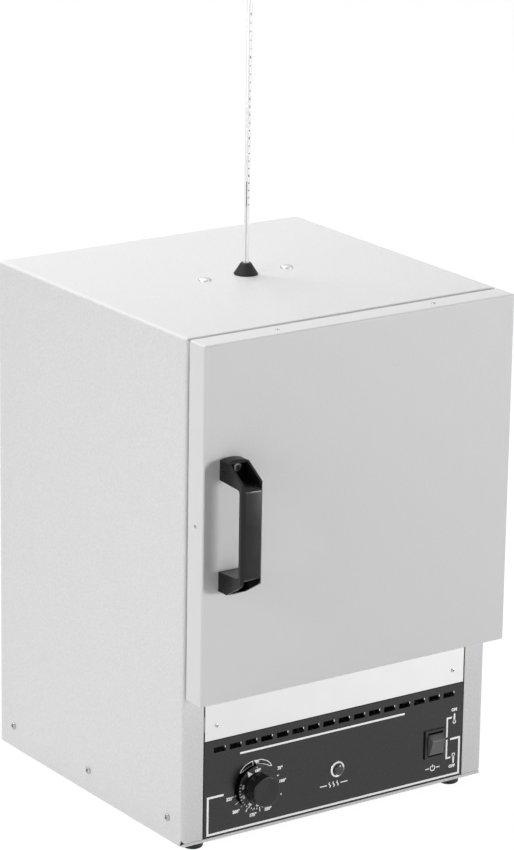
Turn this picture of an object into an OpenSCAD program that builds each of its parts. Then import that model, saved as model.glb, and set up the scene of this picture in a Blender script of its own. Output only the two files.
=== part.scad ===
// Bench drying oven: an insulated sheet-metal cabinet with a hinged door, a
// heated chamber with wire shelves, and a control space under it.
// Millimetres, +Z up, front towards -Y, standing on its feet at z = 0.

/* [Cabinet] */
// Width of the cabinet
case_w = 368.3; // [330:0.1:430]
// Depth of the cabinet, front face to back panel
case_d = 342.9; // [320:0.1:400]
// Height of the cabinet's front, lower edge of the posts to the roof
case_h = 514.4; // [480:0.1:560]
// Thickness of the outer sheet
sheet_t = 1.2; // [0.8:0.1:1.5]
// Outside radius of the folded edges
bend_r = 3; // [2:0.1:4]
// Width of the front posts and height of the front flange under the roof
post_w = 24.2; // [22:0.1:26]
// Height of the lip of the base pan under the posts
lip_h = 3.4; // [2.5:0.1:4]
// Thickness of the back panel
back_t = 1; // [0.8:0.1:1.5]

/* [Door] */
// Height of the door's lower edge over the lower edge of the posts
door_lift = 152.4; // [146:0.1:158]
// Thickness of the door
door_t = 25.4; // [22:0.1:28]
// Gap between door and cabinet, filled by the gasket and the hinge
door_gap = 5; // [4.8:0.1:5.6]
// Radius of the door's front edges
door_r = 2; // [1.5:0.1:3]
// Thickness of the door's sheet
door_sheet = 1; // [0.8:0.1:1.2]
// Width of the flange round the back of the door
door_flange = 11; // [10.6:0.1:11.4]
// Width of the gasket
gasket_w = 10; // [8:0.1:11]

/* [Handle] */
// Length of the handle between the ends of its feet
handle_len = 131.2; // [120:0.1:140]
// Width of the handle
handle_w = 24; // [22:0.1:27]
// Reach of the handle in front of the door
handle_reach = 40; // [36:0.1:46]
// Height of each foot on the door
handle_foot = 19.6; // [18:0.1:21]
// Thickness of the grip
grip_t = 6.4; // [5:0.1:8]
// Thickness of the handle's side walls
handle_wall = 2.6; // [2:0.1:3]
// Height of the handle's middle over the door's middle
handle_rise = 0.8; // [-20:0.1:20]
// Distance from the door's free edge to the handle
handle_inset = 18.5; // [14:0.1:30]

/* [Hinge] */
// Outside radius of the hinge barrel
barrel_r = 2.2; // [2:0.05:2.25]
// Radius of the hinge pin
hinge_pin_r = 1.2; // [1:0.05:1.3]
// Number of hinge knuckles
knuckles = 11; // [7:2:15]
// Thickness of the hinge leaves
leaf_t = 0.8; // [0.6:0.05:0.9]

/* [Chamber] */
// Insulated wall, outer face of the cabinet to the inside of the chamber
wall_t = 31.8; // [30:0.1:36]
// Insulated space behind the chamber
rear_wall = 63.5; // [58:0.1:80]
// Thickness of the chamber sheet
liner_t = 0.9; // [0.7:0.1:1.2]
// Height of the diffuser plate over the chamber floor
diffuser_h = 44; // [40:0.5:48]
// Height of the first ledge over the chamber floor
first_ledge = 84; // [78:0.5:90]
// Height of the chamber over the top ledge
top_room = 64.4; // [52:0.1:80]
// Width of a ledge
ledge_w = 9; // [8:0.1:11]
// Radius of the heating element
element_r = 4; // [3.2:0.1:4.5]
// Radius of the element's bends
element_bend = 28; // [24:0.5:32]

/* [Shelves] */
// Setback of the shelves behind the front face
shelf_front = 22; // [16:0.5:30]
// Gap between the shelves and the back of the chamber
shelf_rear = 3.4; // [2:0.1:8]
// Radius of the frame wire
frame_wire_r = 2.2; // [1.8:0.1:2.6]
// Radius of the cross wires
cross_wire_r = 1.2; // [1:0.1:1.5]
// Spacing of the cross wires
wire_pitch = 22; // [18:0.5:25]

/* [Controls] */
// Height of the black control panel
panel_h = 101; // [96:0.1:104]
// Number of slots in the control panel
slots = 16; // [10:1:16]
// Width of a slot
slot_w = 13.8; // [10:0.1:15]
// Height of a slot
slot_h = 5.6; // [4:0.1:7]
// Spacing of the slots
slot_pitch = 18.75; // [18:0.05:19]
// Distance of the knob from the left edge of the panel
knob_inset = 61.7; // [55:0.1:72]
// Radius of the dial skirt
skirt_r = 24.2; // [22:0.1:26]
// Reach of the dial skirt in front of the panel
skirt_reach = 5; // [4.5:0.1:7]
// Radius of the knob cap
cap_r = 15.8; // [14:0.1:17]
// Reach of the knob in front of the panel
knob_reach = 20; // [18:0.1:24]
// Radius of the thermostat shaft
shaft_r = 3; // [2.5:0.1:3.2]
// Radius of the pilot lamp's ring
lamp_r = 8.4; // [8:0.1:9]
// Distance of the switch from the right edge of the panel
switch_inset = 35; // [30:0.5:40]
// Width of the switch bezel
bezel_w = 25.4; // [24:0.1:27]
// Height of the switch bezel
bezel_h = 30.8; // [30:0.1:32]

/* [Roof fittings] */
// Length of the thermometer
thermometer_len = 400; // [380:1:420]
// Part of the thermometer that stands over the roof
thermometer_out = 286; // [280:1:295]
// Radius of the thermometer's stem
stem_r = 2.9; // [2.6:0.05:3.2]
// Height of the rubber stopper over the roof
stopper_h = 11.8; // [10:0.1:14]
// Radius of the foot of the stopper
stopper_r = 12.3; // [11.5:0.1:14]
// Distance of the two roof screws from the stopper
roof_screw_x = 49.6; // [44:0.1:56]

/* [Base and back] */
// Height of the rubber feet
foot_h = 10.6; // [9.5:0.1:14]
// Radius of a foot
foot_r = 10.5; // [9.5:0.1:12]
// Inset of the feet from the cabinet's sides
foot_inset_x = 25.8; // [22:0.1:32]
// Inset of the feet from the front and the back
foot_inset_y = 19.9; // [19:0.1:32]
// Reach of the cord gland behind the back panel
gland_out = 9.4; // [8:0.1:12]
// Radius of the bore of the cord gland
gland_bore_r = 3.6; // [3:0.1:4]

/* [Hidden] */
$fn = 48;

// Clearances
run = 0.05;          // radial clearance of a shaft in its bore
slip = 0.3;          // gap between pieces that move past each other
ease = 0.2;          // radial ease of a screw in its hole
pad_gap = 0.6;       // gap between a batt and the sheet round it
plate_gap = 1.2;     // gap between the posts and the plates between them
seam = 0.8;          // gap between plates one over the other

// Heights
pan_z = foot_h;
post_z = pan_z + lip_h;
roof_z = post_z + case_h;
door_z = post_z + door_lift;
door_h = roof_z - door_z;
door_mid_z = door_z + door_h / 2;
floor_z = door_z + wall_t;
ceiling_z = roof_z - wall_t;

// Across and along
inner_w = case_w - 2 * sheet_t;
open_w = case_w - 2 * post_w;
plate_w = open_w - 2 * plate_gap;
face_w = plate_w - plate_gap;
mouth_w = case_w - 2 * wall_t;
wrap_d = case_d - back_t;
chamber_d = case_d - rear_wall;
shelf_d = chamber_d - shelf_front - shelf_rear;
knob_x = plate_w / 2 - knob_inset;
switch_x = plate_w / 2 - switch_inset;
cavity_d = wrap_d - sheet_t;
rear_flange = 12;
chamber_mid_y = case_d / 2;
door_back_y = -door_gap;
door_front_y = -door_gap - door_t;
reach_front = door_gap + door_t + handle_reach;
reach_back = case_d + gland_out;
front_y = (reach_front - reach_back) / 2;

// Screws: head radius, head height and shank radius
small_screw = [3.9, 2.4, 1.9];
side_head = [3.9, 2.6, 1.9];
plate_screw = [2.1, 0.9, 1.4];
hinge_screw = [1.9, 0.7, 1.2];
roof_head = [6.8, 2.7, 2.3];
foot_screw = [3.9, 2.4, 2];
shank_len = 7;

// Places of the side screws along the depth, and their height
side_screw_y = [25.4, case_d / 2, case_d - 25.4];
side_screw_z = post_z + 20.3;
pan_wall_h = 30;

// The cabinet's front face stands at front_y, so that the whole object is
// centred over the origin.
module on_case() {
    translate([0, front_y, 0]) children();
}

// Rectangle with chosen corners rounded, counted from the lower left.
module corner_rect(w, h, r, round) {
    places = [[0, 0], [w, 0], [w, h], [0, h]];
    inward = [[1, 1], [-1, 1], [-1, -1], [1, -1]];
    difference() {
        square([w, h]);
        for (i = [0 : 3])
            if (round[i])
                translate(places[i]) square(2 * r, center = true);
    }
    for (i = [0 : 3])
        if (round[i])
            translate(places[i] + r * inward[i]) circle(r);
}

// Block with its front face at y = 0 and rounded front and side edges. The
// last value says which corners of the front and side views are rounded.
module folded_block(w, d, h, r, front_round, side_round) {
    intersection() {
        linear_extrude(h) translate([-w / 2, 0]) corner_rect(w, d, r, [1, 1, 0, 0]);
        translate([0, d, 0]) rotate([90, 0, 0]) linear_extrude(d)
            translate([-w / 2, 0]) corner_rect(w, h, r, front_round);
        translate([-w / 2, 0, 0]) rotate([90, 0, 90]) linear_extrude(w)
            corner_rect(d, h, r, side_round);
    }
}

// Box from one corner to the opposite one.
module box(low, high) {
    translate(low) cube(high - low);
}

// Frame between an outer and an inner rectangle, lying in the XZ plane.
module upright_frame(w, h, border, y, t) {
    translate([0, y + t, 0]) rotate([90, 0, 0]) linear_extrude(t) difference() {
        translate([-w / 2, 0]) square([w, h]);
        translate([-w / 2 + border, border]) square([w - 2 * border, h - 2 * border]);
    }
}

// Rod along Y from y0 to y1.
module y_rod(r, y0, y1) {
    translate([0, y1, 0]) rotate([90, 0, 0]) cylinder(h = y1 - y0, r = r);
}

// Rod along X from x0 to x1.
module x_rod(r, x0, x1) {
    translate([x0, 0, 0]) rotate([0, 90, 0]) cylinder(h = x1 - x0, r = r);
}

// Pan-head screw that points along -Z, its seat at z = 0.
module pan_screw(size, length) {
    crown = size[1] * 0.4;
    rotate_extrude() {
        translate([0, -length]) square([size[2], length + 0.1]);
        square([size[0], size[1] - crown]);
        difference() {
            intersection() {
                translate([0, size[1] - crown - (size[0] * size[0] - crown * crown) / (2 * crown)])
                    circle((size[0] * size[0] + crown * crown) / (2 * crown), $fn = 96);
                translate([0, size[1] - crown - 0.05]) square([size[0], crown + 0.1]);
            }
            translate([0, size[1] - 0.8]) square([0.9, 2]);
        }
    }
}

// Places that several pieces share
module at_sides() {
    for (side = [-1, 1])
        for (y = side_screw_y)
            translate([side * case_w / 2, y, side_screw_z]) rotate([0, side * 90, 0]) children();
}
module at_feet() {
    for (x = [foot_inset_x - case_w / 2, case_w / 2 - foot_inset_x])
        for (y = [foot_inset_y, case_d - foot_inset_y])
            translate([x, y, 0]) children();
}
plate_screw_inset = 14.2;
module at_plate_screws() {
    for (side = [-1, 1])
        translate([side * (plate_w / 2 - plate_screw_inset), 0, deck_z - deck_flange + 5])
            rotate([90, 0, 0]) children();
}
module at_roof_screws() {
    for (side = [-1, 1])
        translate([side * roof_screw_x, chamber_mid_y, roof_z]) children();
}
module at_back_screws() {
    edge = rear_flange / 2;
    corner_gap = 40;
    for (side = [-1, 1])
        for (z = [post_z + corner_gap, (post_z + roof_z) / 2, roof_z - corner_gap])
            translate([side * (case_w / 2 - edge), case_d, z]) rotate([-90, 0, 0]) children();
    for (x = [-case_w / 4, 0, case_w / 4])
        translate([x, case_d, roof_z - edge]) rotate([-90, 0, 0]) children();
}
knob_z = post_z + 43.4;
lamp_z = post_z + 39.8;
lamp_x = 2;
switch_z = post_z + 41.6;
module at_knob() {
    translate([-knob_x, 0, knob_z]) children();
}
module at_lamp() {
    translate([lamp_x, 0, lamp_z]) children();
}
module at_switch() {
    translate([switch_x, 0, switch_z]) children();
}
gland_inset = 72;
gland_z = post_z + 34;
module at_gland() {
    translate([case_w / 2 - gland_inset, case_d, gland_z]) children();
}
module at_stopper() {
    translate([0, chamber_mid_y, roof_z]) children();
}
module at_handle() {
    translate([handle_inset + handle_w / 2 - case_w / 2, door_front_y, door_mid_z + handle_rise]) children();
}
module at_handle_screws() {
    at_handle() for (side = [-1, 1])
        translate([0, 0, side * (handle_len / 2 - bolt_inset)]) children();
}
module at_door_screws() {
    for (x = [-92.7, 92.7])
        translate([x, door_back_y - door_t / 2, roof_z]) children();
    translate([-case_w / 2, door_back_y - door_t / 2, door_mid_z]) rotate([0, -90, 0]) children();
}

// Cabinet

relief_d = 4;
post_return = 14;
module wrapper() {
    h = roof_z - pan_z;
    color("gainsboro") on_case() difference() {
        union() {
            difference() {
                translate([0, 0, pan_z]) folded_block(case_w, wrap_d, h, bend_r, [0, 0, 1, 1], [0, 0, 0, 1]);
                translate([0, sheet_t, pan_z - 1])
                    folded_block(inner_w, wrap_d - 2 * sheet_t, h - sheet_t + 1, bend_r - sheet_t,
                                 [0, 0, 1, 1], [0, 0, 0, 1]);
            }
            for (side = [-1, 1])
                translate([side * (open_w + sheet_t) / 2, post_return / 2, (post_z + deck_front_z) / 2])
                    cube([sheet_t, post_return, deck_front_z - post_z], center = true);
        }
        // The front opening, the rear opening and the relief of the corners
        box([-open_w / 2, -1, pan_z - 1], [open_w / 2, sheet_t + 1, roof_z - post_w]);
        box([rear_flange - case_w / 2, cavity_d - 1, pan_z - 1],
            [case_w / 2 - rear_flange, wrap_d + 1, roof_z - rear_flange]);
        box([-case_w, -1, pan_z - 1], [case_w, relief_d, post_z]);
        for (side = [-1, 1])
            translate([side * case_w / 2, -1, post_z]) rotate([-90, 0, 0])
                cylinder(h = relief_d, r = 3.4, $fn = 4);
        at_sides() translate([0, 0, -5]) cylinder(h = 10, r = side_head[2] + ease);
        at_back_screws() translate([0, 0, -5]) cylinder(h = 10, r = small_screw[2] + ease);
        at_roof_screws() translate([0, 0, -5]) cylinder(h = 10, r = roof_head[2] + ease);
        at_stopper() translate([0, 0, -5]) cylinder(h = 10, r = tube_r);
        at_hinge_screws(0) cylinder(h = 10, r = hinge_screw[2] + ease, center = true);
    }
}

gland_hole_r = 8;
module back_panel() {
    color("gainsboro") on_case() difference() {
        translate([0, case_d, pan_z]) rotate([90, 0, 0]) linear_extrude(back_t)
            translate([-case_w / 2, 0]) corner_rect(case_w, roof_z - pan_z, bend_r, [0, 0, 1, 1]);
        at_back_screws() translate([0, 0, -5]) cylinder(h = 10, r = small_screw[2] + ease);
        at_gland() y_rod(gland_hole_r, -5, 5);
    }
}

module back_screws() {
    color("silver") on_case() at_back_screws() pan_screw(small_screw, shank_len);
}

module base_pan() {
    lip_top = post_z - 0.4;
    w = inner_w;
    color("gainsboro") on_case() difference() {
        union() {
            box([-w / 2, 0, pan_z], [w / 2, cavity_d - 1, pan_z + sheet_t]);
            box([1.6 - case_w / 2, 0, pan_z], [case_w / 2 - 1.6, sheet_t, lip_top]);
            for (side = [-1, 1])
                translate([side * (w / 2 - sheet_t / 2), relief_d + cavity_d / 2, pan_z + pan_wall_h / 2])
                    cube([sheet_t, cavity_d - 2 * relief_d, pan_wall_h], center = true);
        }
        at_sides() translate([0, 0, -8]) cylinder(h = 10, r = side_head[2] + ease);
        at_feet() translate([0, 0, pan_z - 1]) cylinder(h = 5, r = foot_screw[2] + ease);
    }
}

module side_screws() {
    color("silver") on_case() at_sides() pan_screw(side_head, shank_len);
}

recess_r = 5;
recess_h = 6;
module feet() {
    rim = 2.2;
    color("#222222") on_case() at_feet() rotate_extrude() difference() {
        union() {
            translate([0, rim]) square([foot_r, foot_h - rim]);
            square([foot_r - rim, foot_h]);
            translate([foot_r - rim, rim]) circle(rim);
        }
        translate([-foot_r, -1]) square([foot_r, foot_h + 2]);
        translate([-1, -1]) square([recess_r + 1, recess_h + 1]);
        translate([-1, 0]) square([foot_screw[2] + ease + 1, foot_h + 1]);
    }
}

module foot_screws() {
    color("silver") on_case() at_feet()
        translate([0, 0, recess_h]) rotate([180, 0, 0]) pan_screw(foot_screw, foot_h - recess_h + shank_len);
}

panel_z = post_z + 0.4;
slot_drop = 10.2;
panel_top = panel_z + panel_h;
plate_z = panel_top + seam;
plate_top = door_z + post_w;
return_w = 9;
module face_plate() {
    color("whitesmoke") on_case() difference() {
        union() {
            box([-face_w / 2, 0, plate_z], [face_w / 2, sheet_t, plate_top]);
            box([-face_w / 2, 0, plate_z], [face_w / 2, return_w, plate_z + sheet_t]);
        }
        at_plate_screws() translate([0, 0, -5]) cylinder(h = 10, r = plate_screw[2] + ease);
    }
}

module plate_screws() {
    color("silver") on_case() at_plate_screws() pan_screw(plate_screw, shank_len);
}

cutout_w = bezel_w - 3.4;
cutout_h = bezel_h - 2.8;
module control_panel() {
    color("#3a3a3a") on_case() difference() {
        union() {
            box([-plate_w / 2, 0, panel_z], [plate_w / 2, sheet_t, panel_top]);
            box([-plate_w / 2, 0, panel_top - sheet_t], [plate_w / 2, return_w, panel_top]);
            box([-plate_w / 2, 0, panel_z], [plate_w / 2, return_w, panel_z + sheet_t]);
            for (x = [-plate_w / 2, plate_w / 2 - sheet_t])
                box([x, 0, panel_z], [x + sheet_t, return_w, panel_top]);
        }
        for (i = [0 : slots - 1])
            translate([(i - (slots - 1) / 2) * slot_pitch, 1, panel_top - slot_drop])
                cube([slot_w, 4, slot_h], center = true);
        at_knob() y_rod(bush_r + ease, -1, 5);
        at_lamp() y_rod(lamp_body_r + ease, -1, 5);
        at_switch() translate([-cutout_w / 2, -1, -cutout_h / 2]) cube([cutout_w, 5, cutout_h]);
    }
}

deck_drop = 25.4;
deck_z = door_z - deck_drop;
deck_t = 1;
deck_flange = 15;
deck_front_z = deck_z - deck_flange;
module mid_deck() {
    color("silver") on_case() difference() {
        union() {
            box([-inner_w / 2, bend_r, deck_z], [inner_w / 2, cavity_d - 1, deck_z + deck_t]);
            box([-plate_w / 2, sheet_t, deck_z], [plate_w / 2, bend_r + 1, deck_z + deck_t]);
            box([-plate_w / 2, sheet_t, deck_front_z], [plate_w / 2, sheet_t + deck_t, deck_z + deck_t]);
        }
        at_plate_screws() translate([0, 0, -5]) cylinder(h = 10, r = plate_screw[2] + ease);
        at_element_legs() translate([0, 0, deck_z - 1]) cylinder(h = 4, r = bushing_r);
        at_capillary() translate([0, 0, deck_z - 1]) cylinder(h = 4, r = capillary_r + ease);
    }
}

// Chamber

liner_flange = 18;
module chamber_liner() {
    outer_w = mouth_w + 2 * liner_t;
    flange_w = mouth_w + 2 * liner_flange;
    color("whitesmoke") on_case() difference() {
        union() {
            box([-outer_w / 2, sheet_t, floor_z - liner_t],
                [outer_w / 2, chamber_d + liner_t, ceiling_z + liner_t]);
            box([-flange_w / 2, sheet_t, floor_z - liner_flange],
                [flange_w / 2, sheet_t + liner_t, ceiling_z + liner_flange]);
        }
        box([-mouth_w / 2, 0, floor_z], [mouth_w / 2, chamber_d, ceiling_z]);
        at_stopper() translate([0, 0, -wall_t - 5]) cylinder(h = 10, r = tube_r + tube_t + ease);
        at_element_legs() translate([0, 0, floor_z - 5]) cylinder(h = 10, r = bushing_r);
        at_capillary() translate([0, 0, floor_z - 5]) cylinder(h = 10, r = capillary_r + ease);
    }
}

batt_y0 = sheet_t + liner_t + pad_gap;
batt_y1 = chamber_d + liner_t + pad_gap;
batt_top_z = roof_z - 9;
batt_w = inner_w - 2 * pad_gap;
batt_z0 = deck_z + deck_t + pad_gap;
module insulation_top() {
    color("khaki") on_case() difference() {
        box([-batt_w / 2, batt_y0, ceiling_z + liner_t + pad_gap], [batt_w / 2, batt_y1, batt_top_z]);
        at_stopper() translate([0, 0, -wall_t - 5]) cylinder(h = wall_t + 10, r = tube_r + tube_t + pad_gap);
        box([-mouth_w / 2 - liner_flange - pad_gap, 0, 0],
            [mouth_w / 2 + liner_flange + pad_gap, batt_y0, roof_z]);
    }
}

module insulation_sides() {
    x0 = mouth_w / 2 + liner_t + pad_gap;
    color("khaki") on_case() for (side = [0, 1]) mirror([side, 0, 0])
        box([x0, batt_y0, batt_z0], [batt_w / 2, batt_y1, ceiling_z + liner_t]);
}

module insulation_back() {
    color("khaki") on_case()
        box([-batt_w / 2, batt_y1 + 0.3, batt_z0],
            [batt_w / 2, case_d - shank_len - pad_gap, batt_top_z]);
}

module insulation_floor() {
    x1 = mouth_w / 2 + liner_t;
    color("khaki") on_case() difference() {
        box([-x1, batt_y0, batt_z0], [x1, batt_y1, floor_z - liner_t - pad_gap]);
        at_element_legs() translate([0, 0, deck_z]) cylinder(h = 100, r = bushing_r + pad_gap);
        at_capillary() translate([0, 0, deck_z]) cylinder(h = 100, r = capillary_r + pad_gap);
    }
}

ledge_t = 1;
ladder_y = [12, chamber_d - 12];
ledge_pitch = (ceiling_z - floor_z - first_ledge - top_room) / 3;
function ledge_z(i) = floor_z + first_ledge + i * ledge_pitch;
module ladder_rung(y0, y1, z) {
    box([mouth_w / 2 - ledge_w, y0, z - ledge_t], [mouth_w / 2, y1, z]);
    box([mouth_w / 2 - ledge_t, y0, z - 8], [mouth_w / 2, y1, z]);
}
module shelf_supports() {
    color("silver") on_case() for (side = [0, 1]) mirror([side, 0, 0]) {
        for (i = [0 : 3])
            ladder_rung(ladder_y[0], ladder_y[1], ledge_z(i));
        for (y = [ladder_y[0] + 14, ladder_y[1] - 34])
            box([mouth_w / 2 - ledge_t, y, floor_z + diffuser_h + 4], [mouth_w / 2, y + 20, ledge_z(3)]);
    }
}

hole_pitch = 34;
module diffuser_plate() {
    w = mouth_w - 1;
    y0 = 14;
    y1 = capillary_y - bulb_r;
    color("silver") on_case() difference() {
        union() {
            box([-w / 2, y0, floor_z + diffuser_h - 1], [w / 2, y1, floor_z + diffuser_h]);
            for (x = [-w / 2, w / 2 - 1])
                box([x, y0, floor_z], [x + 1, y1, floor_z + diffuser_h]);
        }
        for (ix = [-3.5 : 3.5])
            for (iy = [-3 : 3])
                translate([ix * hole_pitch, (y0 + y1) / 2 + iy * hole_pitch, floor_z + diffuser_h - 5])
                    cylinder(h = 10, r = 6);
    }
}

// The element lies in four runs along Y, joined by half-circle bends. Its two
// ends turn down through the floor at the rear.
element_rise = 20;
element_front = 50;
element_rear = 34;
element_z = floor_z + element_rise;
element_y0 = element_front + element_bend;
element_y1 = chamber_d - element_rear - element_bend;
element_turn = 12;
bushing_r = element_r + 3;
leg_x = 3 * element_bend;
leg_y = element_y1 + element_bend + element_turn;
leg_out = 14;
leg_low = deck_z - leg_out;
module at_element_legs() {
    for (side = [-1, 1])
        translate([side * leg_x, leg_y, 0]) children();
}
module half_bend(r, wire_r) {
    rotate_extrude(angle = 180) translate([r, 0]) circle(wire_r);
}
module heating_element() {
    b = element_bend;
    color("#8a6a55") on_case() {
        translate([0, 0, element_z]) {
            for (x = [-b, b])
                translate([x, 0, 0]) y_rod(element_r, element_y0, element_y1);
            for (x = [-3 * b, 3 * b])
                translate([x, 0, 0]) y_rod(element_r, element_y0, leg_y - element_turn);
            for (x = [-2 * b, 2 * b])
                translate([x, element_y0, 0]) rotate([0, 0, 180]) half_bend(b, element_r);
            translate([0, element_y1, 0]) half_bend(b, element_r);
        }
        at_element_legs() {
            translate([0, -element_turn, element_z - element_turn]) rotate([90, 0, 90])
                rotate_extrude(angle = 90) translate([element_turn, 0]) circle(element_r);
            translate([0, 0, leg_low]) cylinder(h = element_z - element_turn - leg_low, r = element_r);
        }
    }
}

module element_supports() {
    b = element_bend;
    color("silver") on_case() for (y = [element_y0 + 20, element_y1 - 20])
        difference() {
            union() {
                box([-leg_x - 10, y, floor_z], [leg_x + 10, y + 1.2, element_z + 2]);
                box([-leg_x - 10, y, floor_z], [leg_x + 10, y + 12, floor_z + 1.2]);
            }
            for (x = [-3 * b, -b, b, 3 * b])
                translate([x, 0, element_z]) {
                    y_rod(element_r + 0.1, y - 2, y + 2);
                    box([-element_r - 0.1, y - 2, 0], [element_r + 0.1, y + 2, 10]);
                }
        }
}

module element_bushings() {
    head = 1.5;
    color("white") on_case() at_element_legs() rotate_extrude() {
        translate([element_r + 0.1, leg_low + 4]) square([bushing_r - element_r - 0.3, floor_z - leg_low - 4]);
        translate([element_r + 0.1, floor_z]) square([bushing_r - element_r + 2, head]);
    }
}

// Thermostat: a box behind the panel whose bush goes through it, with a nut
// in front. The capillary runs back and up into the chamber.
bush_r = 4.8;
nut_t = 2.2;
bush_out = nut_t + 0.4;
capillary_r = 1.1;
capillary_y = chamber_d - 9;
capillary_z = knob_z - 12;
bulb_r = 4;
bulb_z = floor_z + diffuser_h + 10;
bulb_len = 86;
module at_capillary() {
    translate([-knob_x, capillary_y, 0]) children();
}
module thermostat() {
    color("tan") on_case() at_knob() difference() {
        union() {
            box([-20, sheet_t, -19], [20, 27, 17]);
            box([-14, 27, -16], [14, 33, 12]);
            y_rod(bush_r, -bush_out, sheet_t + 1);
        }
        y_rod(shaft_r + run, -10, 16);
    }
}

module thermostat_nut() {
    color("silver") on_case() at_knob() difference() {
        rotate([90, 0, 0]) cylinder(h = nut_t, r = 8, $fn = 6);
        y_rod(bush_r + ease / 2, -5, 5);
    }
}

module thermostat_bulb() {
    turn = 6;
    color("peru") on_case() {
        translate([-knob_x, 0, capillary_z]) y_rod(capillary_r, 33, capillary_y - turn);
        at_capillary() {
            translate([0, -turn, capillary_z + turn]) rotate([0, 90, 0])
                rotate_extrude(angle = 90) translate([turn, 0]) circle(capillary_r);
            translate([0, 0, capillary_z + turn]) cylinder(h = bulb_z - capillary_z - 2 * turn, r = capillary_r);
            translate([turn, 0, bulb_z - turn]) rotate([90, 0, 0]) rotate([0, 0, 90])
                rotate_extrude(angle = 90) translate([turn, 0]) circle(capillary_r);
            translate([0, 0, bulb_z]) x_rod(bulb_r, turn, turn + bulb_len);
        }
    }
}

// Pilot lamp
lamp_body_r = 6.7;
lens_r = 6.2;
lens_out = 4;
module lamp_bezel() {
    color("silver") on_case() at_lamp() rotate([90, 0, 0]) rotate_extrude() {
        translate([lens_r + 0.1, 0]) square([lamp_r - lens_r - 0.9, 2.4]);
        translate([lens_r + 0.1, 0]) square([lamp_r - lens_r - 0.1, 1.6]);
        translate([lamp_r - 0.8, 1.6]) circle(0.8);
        translate([lens_r + 0.1, -12]) square([lamp_body_r - lens_r - 0.1, 12.1]);
    }
}

module lamp_lens() {
    color("#555555") on_case() at_lamp() rotate([90, 0, 0]) rotate_extrude() {
        round = 1.2;
        translate([0, -18]) square([lens_r, 18 + lens_out - round]);
        translate([0, lens_out - round]) square([lens_r - round, round]);
        translate([lens_r - round, lens_out - round]) circle(round);
    }
}

// Rocker switch
window_w = 19;
window_h = 26;
rocker_pin_r = 1.2;
pivot_y = 5;
module switch_housing() {
    lip = 2;
    color("#2b2b2b") on_case() at_switch() difference() {
        union() {
            translate([-bezel_w / 2, -lip, -bezel_h / 2]) cube([bezel_w, lip, bezel_h]);
            translate([-cutout_w / 2 + 0.2, -lip, -cutout_h / 2 + 0.2])
                cube([cutout_w - 0.4, 24 + lip, cutout_h - 0.4]);
            for (z = [-8, 0, 8])
                translate([-3, 24, z - 0.4]) cube([6, 8, 0.8]);
        }
        translate([-window_w / 2, -lip - 1, -window_h / 2]) cube([window_w, 19 + lip, window_h]);
        translate([0, pivot_y, 0]) x_rod(rocker_pin_r + run, -cutout_w / 2 + 0.5, cutout_w / 2 - 0.5);
    }
}

module rocker_paddle() {
    half = window_w / 2 - slip;
    color("#8a8a8a") on_case() at_switch() {
        intersection() {
            translate([-half, 0, 0]) rotate([90, 0, 90]) linear_extrude(2 * half)
                polygon([[-2.2, 11.2], [-3.2, 10.8], [-7.2, 6.4], [-7.7, 5.4], [-7.6, 4.4], [-3.9, -10.4],
                         [-3, -11.1], [-1.2, -11.2], [4, -9], [9, -4], [9, 4], [4, 9]]);
            // The front face is narrower than the foot of the paddle
            linear_extrude(60, center = true)
                polygon([[-half, 12], [-half, -2.4], [2 - half, -9], [half - 2, -9], [half, -2.4], [half, 12]]);
        }
        translate([0, pivot_y, 0]) x_rod(rocker_pin_r, -cutout_w / 2 + 0.7, cutout_w / 2 - 0.7);
    }
}

// Strain-relief bushing for the power cord
module cord_gland() {
    lock_r = gland_hole_r - 0.1;
    color("#222222") on_case() at_gland() rotate([-90, 0, 0]) rotate_extrude() difference() {
        union() {
            translate([0, -14]) square([lock_r, 14]);
            square([10, 3]);
            polygon([[0, 3], [8, 3], [6.4, gland_out], [0, gland_out]]);
        }
        translate([-1, -15]) square([gland_bore_r + 1, gland_out + 20]);
    }
}

// Roof fittings
tube_r = 7;
tube_t = 1;
bracket_t = 1.2;
bracket_w = 34;
bracket_l = 2 * roof_screw_x + 24;
module vent_tube() {
    color("silver") on_case() at_stopper() difference() {
        union() {
            translate([-bracket_l / 2, -bracket_w / 2, -sheet_t - bracket_t])
                cube([bracket_l, bracket_w, bracket_t]);
            translate([0, 0, -wall_t - 3]) cylinder(h = wall_t + 3 - sheet_t, r = tube_r + tube_t);
        }
        translate([0, 0, -wall_t - 10]) cylinder(h = wall_t + 20, r = tube_r);
        for (side = [-1, 1])
            translate([side * roof_screw_x, 0, -5]) cylinder(h = 10, r = roof_head[2] + ease);
    }
}

module stopper() {
    plug_r = tube_r - 0.1;
    neck_r = 5.3;
    color("#3d3d3d") on_case() at_stopper() rotate_extrude() difference() {
        polygon([[0, -20], [plug_r - 1, -20], [plug_r, -2], [plug_r, 0], [stopper_r - 0.6, 0], [stopper_r, 0.8],
                 [neck_r + 0.4, stopper_h - 0.6], [neck_r - 0.2, stopper_h], [0, stopper_h]]);
        translate([-1, -25]) square([stem_r + run + 1, 50]);
    }
}

module top_screws() {
    color("gainsboro") on_case() at_roof_screws() pan_screw(roof_head, 7);
}

// Magnetic catch behind the door's free edge
magnet_z = door_mid_z;
strike_t = 0.5;
module catch_magnet() {
    color("#333333") on_case()
        box([1.2 - case_w / 2 + bend_r, -door_gap + strike_t + slip, magnet_z - 22],
            [door_flange - 0.4 - case_w / 2, 0, magnet_z + 22]);
}

module strike_plate() {
    color("silver") on_case()
        box([2 - case_w / 2, door_back_y, magnet_z - 26],
            [door_flange - 0.2 - case_w / 2, door_back_y + strike_t, magnet_z + 26]);
}

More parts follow.
